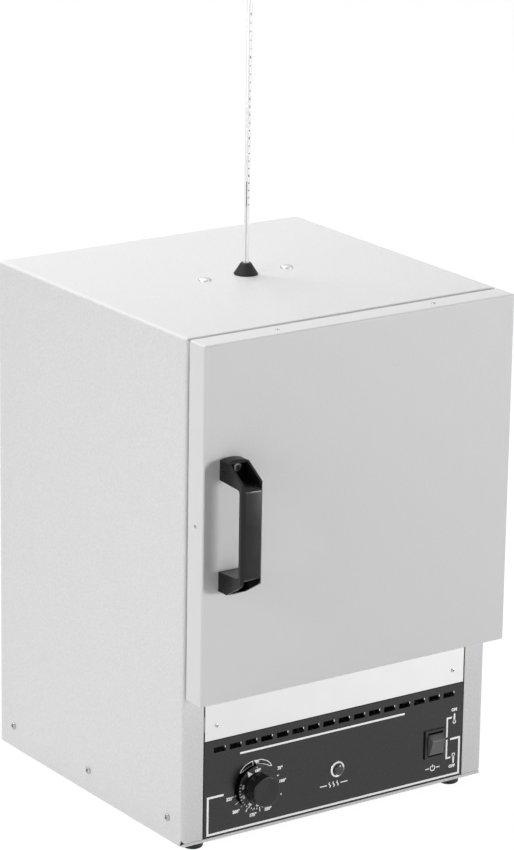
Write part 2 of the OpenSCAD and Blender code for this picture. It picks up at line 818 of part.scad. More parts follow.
// Piano hinge in the gap at the right. Knuckles of the two leaves take turns
// along one pin.
hinge_x = case_w / 2 + 0.4;
hinge_y = -door_gap / 2;
hinge_z = door_z + 6;
hinge_h = door_h - 12;
knuckle_h = hinge_h / knuckles;
leaf_x0 = case_w / 2 - 10;
leaf_x1 = case_w / 2 - 2.3;
module knuckle_set(first, leaf_y) {
    for (i = [first : 2 : knuckles - 1])
        translate([0, 0, hinge_z + i * knuckle_h + slip / 2]) difference() {
            union() {
                translate([hinge_x, hinge_y, 0]) cylinder(h = knuckle_h - slip, r = barrel_r);
                translate([leaf_x1 - 1, leaf_y, 0]) cube([hinge_x - leaf_x1 + 1, leaf_t, knuckle_h - slip]);
            }
            translate([hinge_x, hinge_y, -1]) cylinder(h = knuckle_h + 2, r = hinge_pin_r + run);
        }
}
module hinge_leaf(first, leaf_y) {
    on_case() difference() {
        union() {
            translate([leaf_x0, leaf_y, hinge_z]) cube([leaf_x1 - leaf_x0, leaf_t, hinge_h]);
            knuckle_set(first, leaf_y);
        }
        at_hinge_screws(leaf_y) cylinder(h = 10, r = hinge_screw[2] + ease, center = true);
    }
}
module at_hinge_screws(y) {
    for (i = [0 : 3])
        translate([leaf_x0 + 3.4, y, hinge_z + hinge_h * (0.07 + 0.86 * i / 3)]) rotate([90, 0, 0]) children();
}
module hinge_case_leaf() {
    color("silver") hinge_leaf(0, -leaf_t);
}
module hinge_door_leaf() {
    color("silver") hinge_leaf(1, door_back_y);
}
module hinge_pin() {
    color("silver") on_case() translate([hinge_x, hinge_y, hinge_z]) cylinder(h = hinge_h, r = hinge_pin_r);
}
module hinge_case_screws() {
    color("silver") on_case() at_hinge_screws(-leaf_t) pan_screw(hinge_screw, leaf_t + sheet_t + 0.5);
}
module hinge_door_screws() {
    color("silver") on_case() at_hinge_screws(door_back_y + leaf_t) mirror([0, 0, 1]) pan_screw(hinge_screw, 4);
}

// Door

module door_skin() {
    all_round = [1, 1, 1, 1];
    w = case_w - 2 * door_sheet;
    color("gainsboro") on_case() translate([0, door_front_y, door_z]) difference() {
        folded_block(case_w, door_t, door_h, door_r, all_round, [1, 0, 0, 1]);
        translate([0, door_sheet, door_sheet])
            folded_block(w, door_t - 2 * door_sheet, door_h - 2 * door_sheet, door_r - door_sheet,
                         all_round, [1, 0, 0, 1]);
        box([door_flange - case_w / 2, door_t - 3, door_flange],
            [case_w / 2 - door_flange, door_t + 1, door_h - door_flange]);
        translate([0, -door_front_y, -door_z]) {
            at_handle_screws() y_rod(handle_bolt_r + ease, -1, 5);
            at_door_screws() translate([0, 0, -2]) cylinder(h = 4, r = plate_screw[2] + ease);
            at_hinge_screws(door_back_y) cylinder(h = 4, r = hinge_screw[2] + ease, center = true);
        }
    }
}

panel_y = door_back_y - door_sheet;
module door_inner_panel() {
    w = case_w - 2 * door_sheet - 1;
    h = door_h - 2 * door_sheet - 1;
    color("whitesmoke") on_case() difference() {
        translate([0, panel_y, door_mid_z - h / 2]) rotate([90, 0, 0]) linear_extrude(liner_t)
            translate([-w / 2, 0]) square([w, h]);
        at_hinge_screws(door_back_y) cylinder(h = 10, r = hinge_screw[2] + ease, center = true);
    }
}

module door_insulation() {
    w = case_w - 2 * door_sheet - 2 * pad_gap;
    h = door_h - 2 * door_sheet - 2 * pad_gap;
    y0 = door_front_y + door_sheet + pad_gap;
    y1 = panel_y - liner_t - pad_gap;
    color("khaki") on_case() difference() {
        box([-w / 2, y0, door_mid_z - h / 2], [w / 2, y1, door_mid_z + h / 2]);
        at_handle_screws() y_rod(8, 0, door_sheet + 8);
        at_door_screws() translate([0, 0, -shank_len - 1]) cylinder(h = shank_len + 2, r = 3);
        at_hinge_screws(door_back_y) cylinder(h = 30, r = 3, center = true);
    }
}

module door_gasket() {
    border = door_flange + 0.3;
    color("#7a7a7a") on_case() translate([0, 0, door_z + border])
        upright_frame(case_w - 2 * border, door_h - 2 * border, gasket_w, panel_y, -panel_y - slip);
}

// Handle: a moulded bridge. Its side view is one outline and its ends are
// arched across the width. Each end holds a pocket between two side walls,
// with the bolt in the pocket's floor.
handle_bolt_r = 2.4;
bolt_head_r = 4.2;
bolt_head_h = 3.6;
bolt_socket_r = 2.2;
bolt_inset = 5.4;
pocket_floor = 9;
pocket_end = 0.8;
end_arch = 1.8;
arch_r = (pow(handle_w / 2, 2) + pow(end_arch, 2)) / (2 * end_arch);
foot_out = handle_len / 2;
foot_in = foot_out - handle_foot;
shoulder = 14;
grip_back = handle_reach - grip_t;
brow_slope = 32;
brow_r = 11.4;
brow_turn = 90 - brow_slope;
brow_drop = (handle_reach - shoulder) * tan(brow_slope);
brow_run = brow_r * tan(brow_turn / 2);
pocket_r = 4.5;

// The brow falls straight from the shoulder, then turns down into the grip
function brow_point(a) = [
    handle_reach - brow_r * (1 - sin(a)),
    foot_out - brow_drop - brow_run + brow_r * cos(a)
];
function end_outline() = concat(
    [[0, foot_in], [0, foot_out + end_arch], [shoulder - end_arch / tan(brow_slope), foot_out + end_arch]],
    [for (i = [0 : 8]) brow_point(brow_slope + i * brow_turn / 8)]
);
function mirrored(points) = [for (i = [len(points) - 1 : -1 : 0]) [points[i][0], -points[i][1]]];
function finger_outline() = [
    [-1, foot_in], [grip_back - 3, foot_in - 1.8], [grip_back - 0.9, foot_in - 2.7], [grip_back, foot_in - 4.8]
];
function pocket_outline() = concat(
    [[handle_reach + 1, foot_out - pocket_end], [pocket_floor, foot_out - pocket_end],
     [pocket_floor, foot_in + 3.6]],
    [for (a = [0 : 15 : 90])
        [handle_reach + pocket_r * (sin(a) - 1), foot_in + 0.4 + pocket_r * (cos(a) - 1)]],
    [[handle_reach + 1, foot_in + 0.4 - pocket_r]]
);
module handle_outline() {
    difference() {
        polygon(concat(end_outline(), mirrored(end_outline())));
        polygon(concat(finger_outline(), mirrored(finger_outline())));
    }
}
module handle_side(width) {
    translate([-width / 2, 0, 0]) rotate([90, 0, 90]) linear_extrude(width) mirror([1, 0]) children();
}
// Front view, with an arch over the width at both ends
function arch_point(x) = [x, foot_out + end_arch - arch_r + sqrt(arch_r * arch_r - x * x)];
module handle_front(reach) {
    half = handle_w / 2;
    arch = [for (i = [-8 : 8]) arch_point(i * half / 8)];
    translate([0, 1, 0]) rotate([90, 0, 0]) linear_extrude(reach) polygon(concat(arch, mirrored(arch)));
}
module handle_pocket() {
    handle_side(handle_w - 2 * handle_wall) polygon(pocket_outline());
    translate([0, 0, foot_out - bolt_inset]) y_rod(handle_bolt_r + ease, -pocket_floor - 1, 1);
}
module handle() {
    bevel = 3;
    half = handle_w / 2;
    color("#2e2e2e") on_case() at_handle() difference() {
        intersection() {
            handle_side(handle_w) handle_outline();
            handle_front(handle_reach + 2);
            linear_extrude(handle_len + 20, center = true)
                polygon([[-half, 1], [-half, bevel - handle_reach], [bevel - half, -handle_reach],
                         [half - bevel, -handle_reach], [half, bevel - handle_reach], [half, 1]]);
        }
        handle_pocket();
        mirror([0, 0, 1]) handle_pocket();
    }
}

module handle_screws() {
    depth = bolt_head_h - 1.2;
    color("silver") on_case() at_handle_screws() difference() {
        union() {
            y_rod(bolt_head_r, -pocket_floor - bolt_head_h, -pocket_floor);
            y_rod(handle_bolt_r, -pocket_floor, door_sheet + 6);
        }
        translate([0, depth - pocket_floor - bolt_head_h, 0]) rotate([90, 0, 0])
            cylinder(h = depth + 1, r = bolt_socket_r, $fn = 6);
    }
}

module handle_nuts() {
    color("silver") on_case() at_handle_screws() difference() {
        translate([0, door_sheet + 4, 0]) rotate([90, 0, 0]) cylinder(h = 4, r = 5, $fn = 6);
        y_rod(handle_bolt_r + 0.05, -1, 10);
    }
}

module door_screws() {
    color("silver") on_case() at_door_screws() pan_screw(plate_screw, shank_len);
}

// Turning knob

skirt_gap = 1;
skirt_pocket_r = 11;
module dial_skirt() {
    edge = 0.6;
    slope = 1.2;
    color("#2b2b2b") on_case() at_knob() rotate([90, 0, 0]) rotate_extrude() difference() {
        polygon([[0, skirt_gap], [skirt_r - edge, skirt_gap], [skirt_r, skirt_gap + edge],
                 [skirt_r, skirt_reach - slope], [skirt_r - slope, skirt_reach], [0, skirt_reach]]);
        translate([-1, -1]) square([shaft_r + run + 1, skirt_reach + 2]);
        translate([-1, -1]) square([skirt_pocket_r + 1, bush_out + slip + 1]);
    }
}

module knob_cap() {
    edge = 0.8;
    draft = 0.5;
    color("#2b2b2b") on_case() at_knob() rotate([90, 0, 0]) rotate_extrude() difference() {
        polygon([[0, skirt_reach], [cap_r, skirt_reach], [cap_r - draft, knob_reach - edge],
                 [cap_r - draft - edge, knob_reach], [0, knob_reach]]);
        translate([-1, -1]) square([shaft_r + run + 1, knob_reach - 3]);
    }
}

module thermostat_shaft() {
    color("silver") on_case() at_knob() y_rod(shaft_r, 4.5 - knob_reach, 15);
}

// Thermometer, free to be drawn up out of the stopper

glass_low = thermometer_out - thermometer_len;
well_top = 14;
column_top = 0.33 * thermometer_len;
module thermometer_glass() {
    bore = 0.7;
    color("azure") on_case() at_stopper() rotate_extrude() difference() {
        union() {
            translate([0, glass_low + 2.4]) square([2.4, 16]);
            translate([0, glass_low + 16]) square([stem_r, thermometer_len - 16 - stem_r]);
            intersection() {
                union() {
                    translate([0, glass_low + 2.4]) circle(2.4);
                    translate([0, thermometer_out - stem_r]) circle(stem_r);
                }
                translate([0, glass_low]) square([stem_r, thermometer_len]);
            }
        }
        translate([-1, glass_low + well_top]) square([bore + 1, thermometer_len - well_top - 10]);
        translate([-1, glass_low + 1.6]) square([2.7, well_top - 1.6]);
    }
}

module thermometer_column() {
    color("dimgray") on_case() at_stopper() rotate_extrude() {
        translate([0, glass_low + 1.7]) square([1.6, well_top - 1.8]);
        translate([0, glass_low + well_top - 1]) square([0.6, column_top - well_top]);
    }
}

// Wire shelves. The frame is one wire loop, and the cross wires lie on it.

shelf_w = mouth_w - 2 * 4.5;
brace_r = 1.8;
module shelf(level) {
    corner = 8;
    half = shelf_w / 2 - frame_wire_r;
    y0 = shelf_front + frame_wire_r;
    y1 = shelf_front + shelf_d - frame_wire_r;
    z = ledge_z(level) + slip + frame_wire_r;
    count = floor((shelf_w - 30) / wire_pitch / 2);
    color("silver") on_case() translate([0, 0, z]) {
        for (side = [-1, 1])
            translate([side * half, 0, 0]) y_rod(frame_wire_r, y0 + corner, y1 - corner);
        for (y = [y0, y1])
            translate([0, y, 0]) x_rod(frame_wire_r, corner - half, half - corner);
        for (c = [[half - corner, y1 - corner, 0], [corner - half, y1 - corner, 90],
                  [corner - half, y0 + corner, 180], [half - corner, y0 + corner, 270]])
            translate([c[0], c[1], 0]) rotate([0, 0, c[2]])
                rotate_extrude(angle = 90) translate([corner, 0]) circle(frame_wire_r);
        for (i = [-count : count])
            translate([i * wire_pitch, 0, frame_wire_r]) y_rod(cross_wire_r, y0 - 1, y1 + 1);
        translate([0, (y0 + y1) / 2, 0]) x_rod(brace_r, -half, half);
    }
}
module upper_shelf() {
    shelf(2);
}
module lower_shelf() {
    shelf(0);
}

wrapper();
back_panel();
back_screws();
base_pan();
side_screws();
feet();
foot_screws();
face_plate();
plate_screws();
control_panel();
mid_deck();
chamber_liner();
insulation_top();
insulation_sides();
insulation_back();
insulation_floor();
shelf_supports();
diffuser_plate();
heating_element();
element_supports();
element_bushings();
thermostat();
thermostat_nut();
thermostat_bulb();
lamp_bezel();
lamp_lens();
switch_housing();
cord_gland();
vent_tube();
stopper();
top_screws();
catch_magnet();
hinge_case_leaf();
hinge_pin();
hinge_case_screws();
door_skin();
door_inner_panel();
door_insulation();
door_gasket();
handle();
handle_screws();
handle_nuts();
door_screws();
strike_plate();
hinge_door_leaf();
hinge_door_screws();
dial_skirt();
knob_cap();
thermostat_shaft();
rocker_paddle();
thermometer_glass();
thermometer_column();
upper_shelf();
lower_shelf();
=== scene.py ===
"""Dress a bench drying oven for its picture.

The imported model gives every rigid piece. This script gives them their finishes,
adds the printed marks, the soft gasket, the finer heads and mouldings, and sets
up the studio. Lengths in the classes are millimetres on the oven's own axes:
x from the middle to the right, y into the cabinet from its front face, z up from
the lower edge of the front posts.
"""

from __future__ import annotations

import logging
import math
from collections.abc import Sequence
from dataclasses import dataclass, field
from enum import Enum

import bmesh
import bpy
import numpy as np
from mathutils import Matrix, Vector

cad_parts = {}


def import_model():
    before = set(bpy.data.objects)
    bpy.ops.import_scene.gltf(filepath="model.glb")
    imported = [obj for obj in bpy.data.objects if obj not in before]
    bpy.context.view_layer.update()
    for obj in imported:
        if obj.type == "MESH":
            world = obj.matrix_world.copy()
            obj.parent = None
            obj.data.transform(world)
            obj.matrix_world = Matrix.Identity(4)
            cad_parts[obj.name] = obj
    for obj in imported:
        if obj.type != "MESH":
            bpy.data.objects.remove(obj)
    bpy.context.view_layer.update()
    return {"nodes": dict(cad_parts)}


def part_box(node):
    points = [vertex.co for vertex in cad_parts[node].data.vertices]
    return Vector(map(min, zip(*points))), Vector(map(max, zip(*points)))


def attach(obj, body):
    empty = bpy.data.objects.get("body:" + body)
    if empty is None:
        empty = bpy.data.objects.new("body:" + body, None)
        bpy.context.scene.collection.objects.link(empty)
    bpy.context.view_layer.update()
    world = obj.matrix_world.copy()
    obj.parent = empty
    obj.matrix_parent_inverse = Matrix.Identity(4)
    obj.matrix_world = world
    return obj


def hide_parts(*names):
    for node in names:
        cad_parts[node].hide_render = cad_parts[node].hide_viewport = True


log = logging.getLogger("drying_oven")

MM = 0.001
LETTER_WEIGHT = 0.085
CAPITAL_SHARE = 0.73
NOISE_FOOT, NOISE_TOP = 0.35, 0.65

Socket = bpy.types.NodeSocket
Colour = tuple[float, float, float]
Point = Sequence[float]
Points = Sequence[Point]
Rows = tuple[Colour, ...]

# Rows of the matrices that turn a shell's +z axis to face each way
TO_FRONT: Rows = ((1, 0, 0), (0, 0, -1), (0, 1, 0))
TO_BACK: Rows = ((1, 0, 0), (0, 0, 1), (0, -1, 0))
TO_LEFT: Rows = ((0, 0, -1), (0, 1, 0), (1, 0, 0))
TO_RIGHT: Rows = ((0, 0, 1), (0, 1, 0), (-1, 0, 0))


def into_scene(thing: bpy.types.Object) -> None:
    """Link an object into the scene."""
    bpy.context.scene.collection.objects.link(thing)


def shader_node(tree: bpy.types.NodeTree, kind: str, inputs: dict[str | int, object],
                **options: str) -> bpy.types.Node:
    """Add a shader node, with sockets linked to its inputs and values set on them.

    Args:
        tree: The tree that it goes into.
        kind: Its kind, without the words ShaderNode.
        inputs: A socket or a value for each input.
        options: Attributes of the node itself.

    Returns:
        The node.
    """
    made = tree.nodes.new(f"ShaderNode{kind}")
    for key, option in options.items():
        setattr(made, key, option)
    for key, value in inputs.items():
        if isinstance(value, Socket):
            tree.links.new(value, made.inputs[key])
        else:
            made.inputs[key].default_value = value
    return made


# Shapes


@dataclass
class Shell:
    """Points and faces of one closed surface, or of several."""

    points: np.ndarray
    faces: list[tuple[int, ...]]

    def moved(self, offset: Point) -> "Shell":
        """Give the same shell shifted by an offset."""
        return Shell(self.points + np.asarray(offset, float), self.faces)

    def turned(self, rows: Points) -> "Shell":
        """Give the same shell with its points multiplied by a matrix of three rows."""
        return Shell(self.points @ np.asarray(rows, float).T, self.faces)


def joined(shells: Sequence[Shell]) -> Shell:
    """Put several shells into one.

    Args:
        shells: The shells, each with faces counted from its own first point.

    Returns:
        One shell that holds them all.
    """
    points, faces, count = [], [], 0
    for shell in shells:
        points.append(shell.points)
        faces.extend(tuple(i + count for i in face) for face in shell.faces)
        count += len(shell.points)
    return Shell(np.vstack(points), faces)


def grid_faces(rows: int, cols: int, close_rows: bool = False,
               close_cols: bool = False) -> list[tuple[int, ...]]:
    """List the four-sided faces between the points of a grid.

    Args:
        rows: Number of rows of points.
        cols: Number of points in a row.
        close_rows: Join the last row to the first.
        close_cols: Join the last point of a row to its first.

    Returns:
        The faces, as indices into the points taken row by row.
    """
    r = np.arange(rows if close_rows else rows - 1)[:, None]
    c = np.arange(cols if close_cols else cols - 1)[None, :]
    r1, c1 = (r + 1) % rows, (c + 1) % cols
    quads = np.stack([r * cols + c, r * cols + c1, r1 * cols + c1, r1 * cols + c], axis=-1)
    return [tuple(q) for q in quads.reshape(-1, 4).tolist()]


def turned_solid(profile: Points, steps: int = 64) -> Shell:
    """Turn a profile about the z axis.

    A point at radius r and height h becomes (r cos t, r sin t, h) for steps
    equal angles t. The profile is a closed loop, so the shell is closed.

    Args:
        profile: Pairs of radius and height, in order round the section.
        steps: Number of angles.

    Returns:
        The closed shell.
    """
    section = np.asarray(profile, float)
    angle = np.linspace(0, 2 * math.pi, steps, endpoint=False)[:, None]
    x, y = section[:, 0] * np.cos(angle), section[:, 0] * np.sin(angle)
    z = np.broadcast_to(section[:, 1], x.shape)
    return Shell(np.stack([x, y, z], -1).reshape(-1, 3), grid_faces(steps, len(section), True, True))


def arc(centre: Point, radius: float, start: float, stop: float, steps: int = 8) -> np.ndarray:
    """Give points centre + radius (cos a, sin a), with a in degrees from start to stop."""
    a = np.radians(np.linspace(start, stop, steps))
    return np.asarray(centre, float) + radius * np.stack([np.cos(a), np.sin(a)], -1)


def stroke(path: Points, width: float, thick: float, closed: bool = False) -> Shell:
    """Lay a flat line of even width along a plane path.

    At each point the two sides stand off by half the width along the mitre of
    the neighbouring directions, n / (n . n1), where n is the mean normal and n1
    the normal of one neighbour. The same outline is repeated at height thick.

    Args:
        path: Points in the plane.
        width: Width of the line.
        thick: Thickness of the ink.
        closed: Join the last point to the first.

    Returns:
        The closed shell.
    """
    p = np.asarray(path, float)
    step = np.roll(p, -1, 0) - p
    step /= np.maximum(np.linalg.norm(step, axis=1), 1e-9)[:, None]
    before = np.roll(step, 1, 0)
    if not closed:
        step[-1], before[0] = before[-1], step[0]
    normal = np.stack([-(step + before)[:, 1], (step + before)[:, 0]], -1)
    normal /= np.linalg.norm(normal, axis=1)[:, None]
    own = np.stack([-step[:, 1], step[:, 0]], -1)
    normal /= np.maximum((normal * own).sum(1), 0.3)[:, None]
    left, right = p + normal * width / 2, p - normal * width / 2
    low, high = np.zeros((len(p), 1)), np.full((len(p), 1), thick)
    ring = np.stack([np.hstack([left, low]), np.hstack([right, low]),
                     np.hstack([right, high]), np.hstack([left, high])], 1)
    faces = grid_faces(len(p), 4, closed, True)
    if not closed:
        last = 4 * (len(p) - 1)
        faces += [(0, 1, 2, 3), (last + 3, last + 2, last + 1, last)]
    return Shell(ring.reshape(-1, 3), faces)


def spoke(centre: Point, degrees: float, near: float, far: float, width: float,
          thick: float) -> Shell:
    """Lay a flat line outward from a centre.

    Args:
        centre: The centre.
        degrees: The line's angle.
        near: Distance from the centre to its near end.
        far: Distance to its far end.
        width: Width of the line.
        thick: Thickness of the ink.

    Returns:
        The closed shell.
    """
    a = math.radians(degrees)
    ends = [(centre[0] + r * math.cos(a), centre[1] + r * math.sin(a)) for r in (near, far)]
    return stroke(ends, width, thick)


def slab(outline: Points, thick: float) -> Shell:
    """Raise a plane outline to a slab from height 0 to thick.

    Args:
        outline: Points in order round the outline.
        thick: Height of the slab.

    Returns:
        The closed shell.
    """
    p = np.asarray(outline, float)
    n = len(p)
    points = np.vstack([np.hstack([p, np.zeros((n, 1))]), np.hstack([p, np.full((n, 1), thick)])])
    faces = grid_faces(2, n, False, True) + [tuple(range(n - 1, -1, -1)), tuple(range(n, 2 * n))]
    return Shell(points, faces)


def lettering(text: str, height: float, thick: float) -> Shell:
    """Set plain characters as a slab, centred on the origin.

    Args:
        text: The characters.
        height: Height of a capital or a digit.
        thick: Thickness of the ink.

    Returns:
        The closed shell.
    """
    curve = bpy.data.curves.new("lettering", "FONT")
    curve.body, curve.size = text, height / CAPITAL_SHARE
    curve.extrude, curve.resolution_u, curve.offset = thick / 2, 2, height * LETTER_WEIGHT
    holder = bpy.data.objects.new("lettering", curve)
    into_scene(holder)
    bpy.context.view_layer.update()
    mesh = bpy.data.meshes.new_from_object(holder.evaluated_get(bpy.context.evaluated_depsgraph_get()))
    points = np.empty(len(mesh.vertices) * 3)
    mesh.vertices.foreach_get("co", points)
    points = points.reshape(-1, 3)
    faces = [tuple(polygon.vertices) for polygon in mesh.polygons]
    bpy.data.objects.remove(holder)
    bpy.data.meshes.remove(mesh)
    bpy.data.curves.remove(curve)
    points -= (points.min(0) + points.max(0)) / 2
    points[:, 2] += thick / 2
    return Shell(points, faces)


# Finishes


class Nodes:
    """A short way to lay out the nodes of one material."""

    def __init__(self, name: str) -> None:
        """Start a material with a Principled shader and Object coordinates.

        Args:
            name: Name of the finish.
        """
        self.material = bpy.data.materials.new(f"{name}_finish")
        self.material.use_nodes = True
        self.tree = self.material.node_tree
        self.shader = self.tree.nodes["Principled BSDF"]
        self.place = shader_node(self.tree, "TexCoord", {}).outputs["Object"]

    def noise(self, scale: float, detail: float = 3.0, stretch: Point = (1, 1, 1)) -> Socket:
        """Add a noise on the piece's own coordinates.

        Args:
            scale: Waves a metre.
            detail: Octaves.
            stretch: Factors of scale along the three axes.

        Returns:
            The noise's value.
        """
        mapping = shader_node(self.tree, "Mapping", {"Scale": stretch, "Vector": self.place})
        inputs = {"Scale": scale, "Detail": detail, "Vector": mapping.outputs["Vector"]}
        return shader_node(self.tree, "TexNoise", inputs).outputs["Fac"]

    def between(self, value: Socket, low: float, high: float) -> Socket:
        """Map the middle of a noise's range to low..high, clamped."""
        inputs = {"From Min": NOISE_FOOT, "From Max": NOISE_TOP, "To Min": low, "To Max": high,
                  "Value": value}
        return shader_node(self.tree, "MapRange", inputs).outputs["Result"]

    def shades(self, value: Socket, colour: Colour, low: float, high: float) -> Socket:
        """Vary how light a colour is, from low times to high times, by a noise."""
        inputs = {"A": (*tint(colour, low), 1), "B": (*tint(colour, high), 1),
                  "Factor": self.between(value, 0, 1)}
        return shader_node(self.tree, "Mix", inputs, data_type="RGBA").outputs["Result"]

    def bump(self, value: Socket, height: float, under: Socket | None = None) -> Socket:
        """Raise the surface by a noise.

        Args:
            value: The noise's value.
            height: How far it rises, in millimetres.
            under: An earlier bump to lay it over.

        Returns:
            The normal.
        """
        inputs = {"Distance": height * MM, "Height": value}
        if under is not None:
            inputs["Normal"] = under
        return shader_node(self.tree, "Bump", inputs).outputs["Normal"]

    def set(self, **numbers: float | Sequence[float]) -> None:
        """Set constants on the shader's own sockets, with _ for a space."""
        for key, number in numbers.items():
            self.shader.inputs[key.replace("_", " ")].default_value = number

    def feed(self, **sockets: Socket) -> None:
        """Link values to the shader's sockets, with _ for a space."""
        for key, socket in sockets.items():
            self.tree.links.new(socket, self.shader.inputs[key.replace("_", " ")])


def tint(colour: Colour, factor: float) -> Colour:
    """Give a colour multiplied by a factor."""
    return tuple(min(1.0, channel * factor) for channel in colour)


def grey(level: float) -> Colour:
    """Give a neutral colour."""
    return level, level, level


@dataclass(frozen=True)
class PowderCoat:
    """Baked paint with a fine orange peel and a faint speckle."""

    name: str
    colour: Colour
    roughness: float = 0.33
    peel_pitch: float = 2.2
    peel_depth: float = 0.14
    speckle: float = 0.006
    gloss: float = 0.4

    def material(self) -> bpy.types.Material:
        """Build the paint.

        Returns:
            A material with fine speckle in its colour and two scales of peel.
        """
        n = Nodes(self.name)
        fine = n.noise(1000 / self.peel_pitch, 2)
        finer = n.noise(2600 / self.peel_pitch, 1)
        n.feed(Base_Color=n.shades(fine, self.colour, 1 - self.speckle, 1 + self.speckle),
               Roughness=n.between(fine, self.roughness - 0.05, self.roughness + 0.06),
               Normal=n.bump(finer, self.peel_depth * 0.4, n.bump(fine, self.peel_depth)))
        n.set(Specular_IOR_Level=self.gloss)
        return n.material


@dataclass(frozen=True)
class RolledSteel:
    """Bare sheet or bar with the streaks of its rolling along one axis."""

    name: str
    colour: Colour
    roughness: float = 0.32
    along: tuple[float, float, float] = (1, 0.04, 1)
    depth: float = 0.01
    cloud: float = 0.08

    def material(self) -> bpy.types.Material:
        """Build the steel.

        Returns:
            A metal whose roughness and height follow stretched noise.
        """
        n = Nodes(self.name)
        streak = n.noise(900, 4, self.along)
        low, high = self.roughness - 0.6 * self.cloud, self.roughness + 1.2 * self.cloud
        n.feed(Base_Color=n.shades(n.noise(30, 3), self.colour, 1 - self.cloud, 1 + self.cloud / 2),
               Roughness=n.between(streak, low, high), Normal=n.bump(streak, self.depth))
        n.set(Metallic=1.0)
        return n.material


@dataclass(frozen=True)
class Moulding:
    """Moulded plastic or rubber with the fine grain of its tool."""

    name: str
    colour: Colour
    roughness: float = 0.45
    grain_pitch: float = 0.5
    grain_depth: float = 0.01
    gloss: float = 0.45

    def material(self) -> bpy.types.Material:
        """Build the plastic.

        Returns:
            A material with grain in its height and slight clouds in its gloss.
        """
        n = Nodes(self.name)
        grain = n.noise(1000 / self.grain_pitch, 2)
        cloud = n.noise(60, 3)
        n.feed(Base_Color=n.shades(cloud, self.colour, 0.93, 1.07),
               Roughness=n.between(cloud, self.roughness - 0.04, self.roughness + 0.05),
               Normal=n.bump(grain, self.grain_depth))
        n.set(Specular_IOR_Level=self.gloss)
        return n.material


@dataclass(frozen=True)
class Wool:
    """Packed mineral wool."""

    name: str
    colour: Colour

    def material(self) -> bpy.types.Material:
        """Build the wool.

        Returns:
            A rough material with felted fibres in its colour and height.
        """
        n = Nodes(self.name)
        fibre = n.noise(700, 6, (1, 1, 0.2))
        n.feed(Base_Color=n.shades(fibre, self.colour, 0.75, 1.1), Normal=n.bump(fibre, 0.5))
        n.set(Roughness=0.95, Specular_IOR_Level=0.1)
        return n.material


@dataclass(frozen=True)
class StemGlass:
    """Opal stem of the thermometer: a white body under a bright glassy face."""

    name: str = "stem_glass"
    ior: float = 2.2

    def material(self) -> bpy.types.Material:
        """Build the glass.

        Returns:
            A white glass with long clouds in its colour and gloss.
        """
        n = Nodes(self.name)
        cloud = n.noise(90, 2, (1, 1, 0.1))
        n.feed(Base_Color=n.shades(cloud, grey(1.0), 0.97, 0.99), Roughness=n.between(cloud, 0.12, 0.2))
        n.set(IOR=self.ior, Specular_IOR_Level=1.0)
        return n.material


@dataclass(frozen=True)
class Ink:
    """Screen-printed ink."""

    name: str
    colour: Colour
    ior: float = 1.5
    specular: float = 0.5

    def material(self) -> bpy.types.Material:
        """Build the ink.

        Returns:
            A flat material with slight unevenness from the screen.
        """
        n = Nodes(self.name)
        screen = n.noise(2500, 2)
        n.feed(Base_Color=n.shades(screen, self.colour, 0.94, 1), Normal=n.bump(screen, 0.004))
        n.set(Roughness=0.36, IOR=self.ior, Specular_IOR_Level=self.specular)
        return n.material


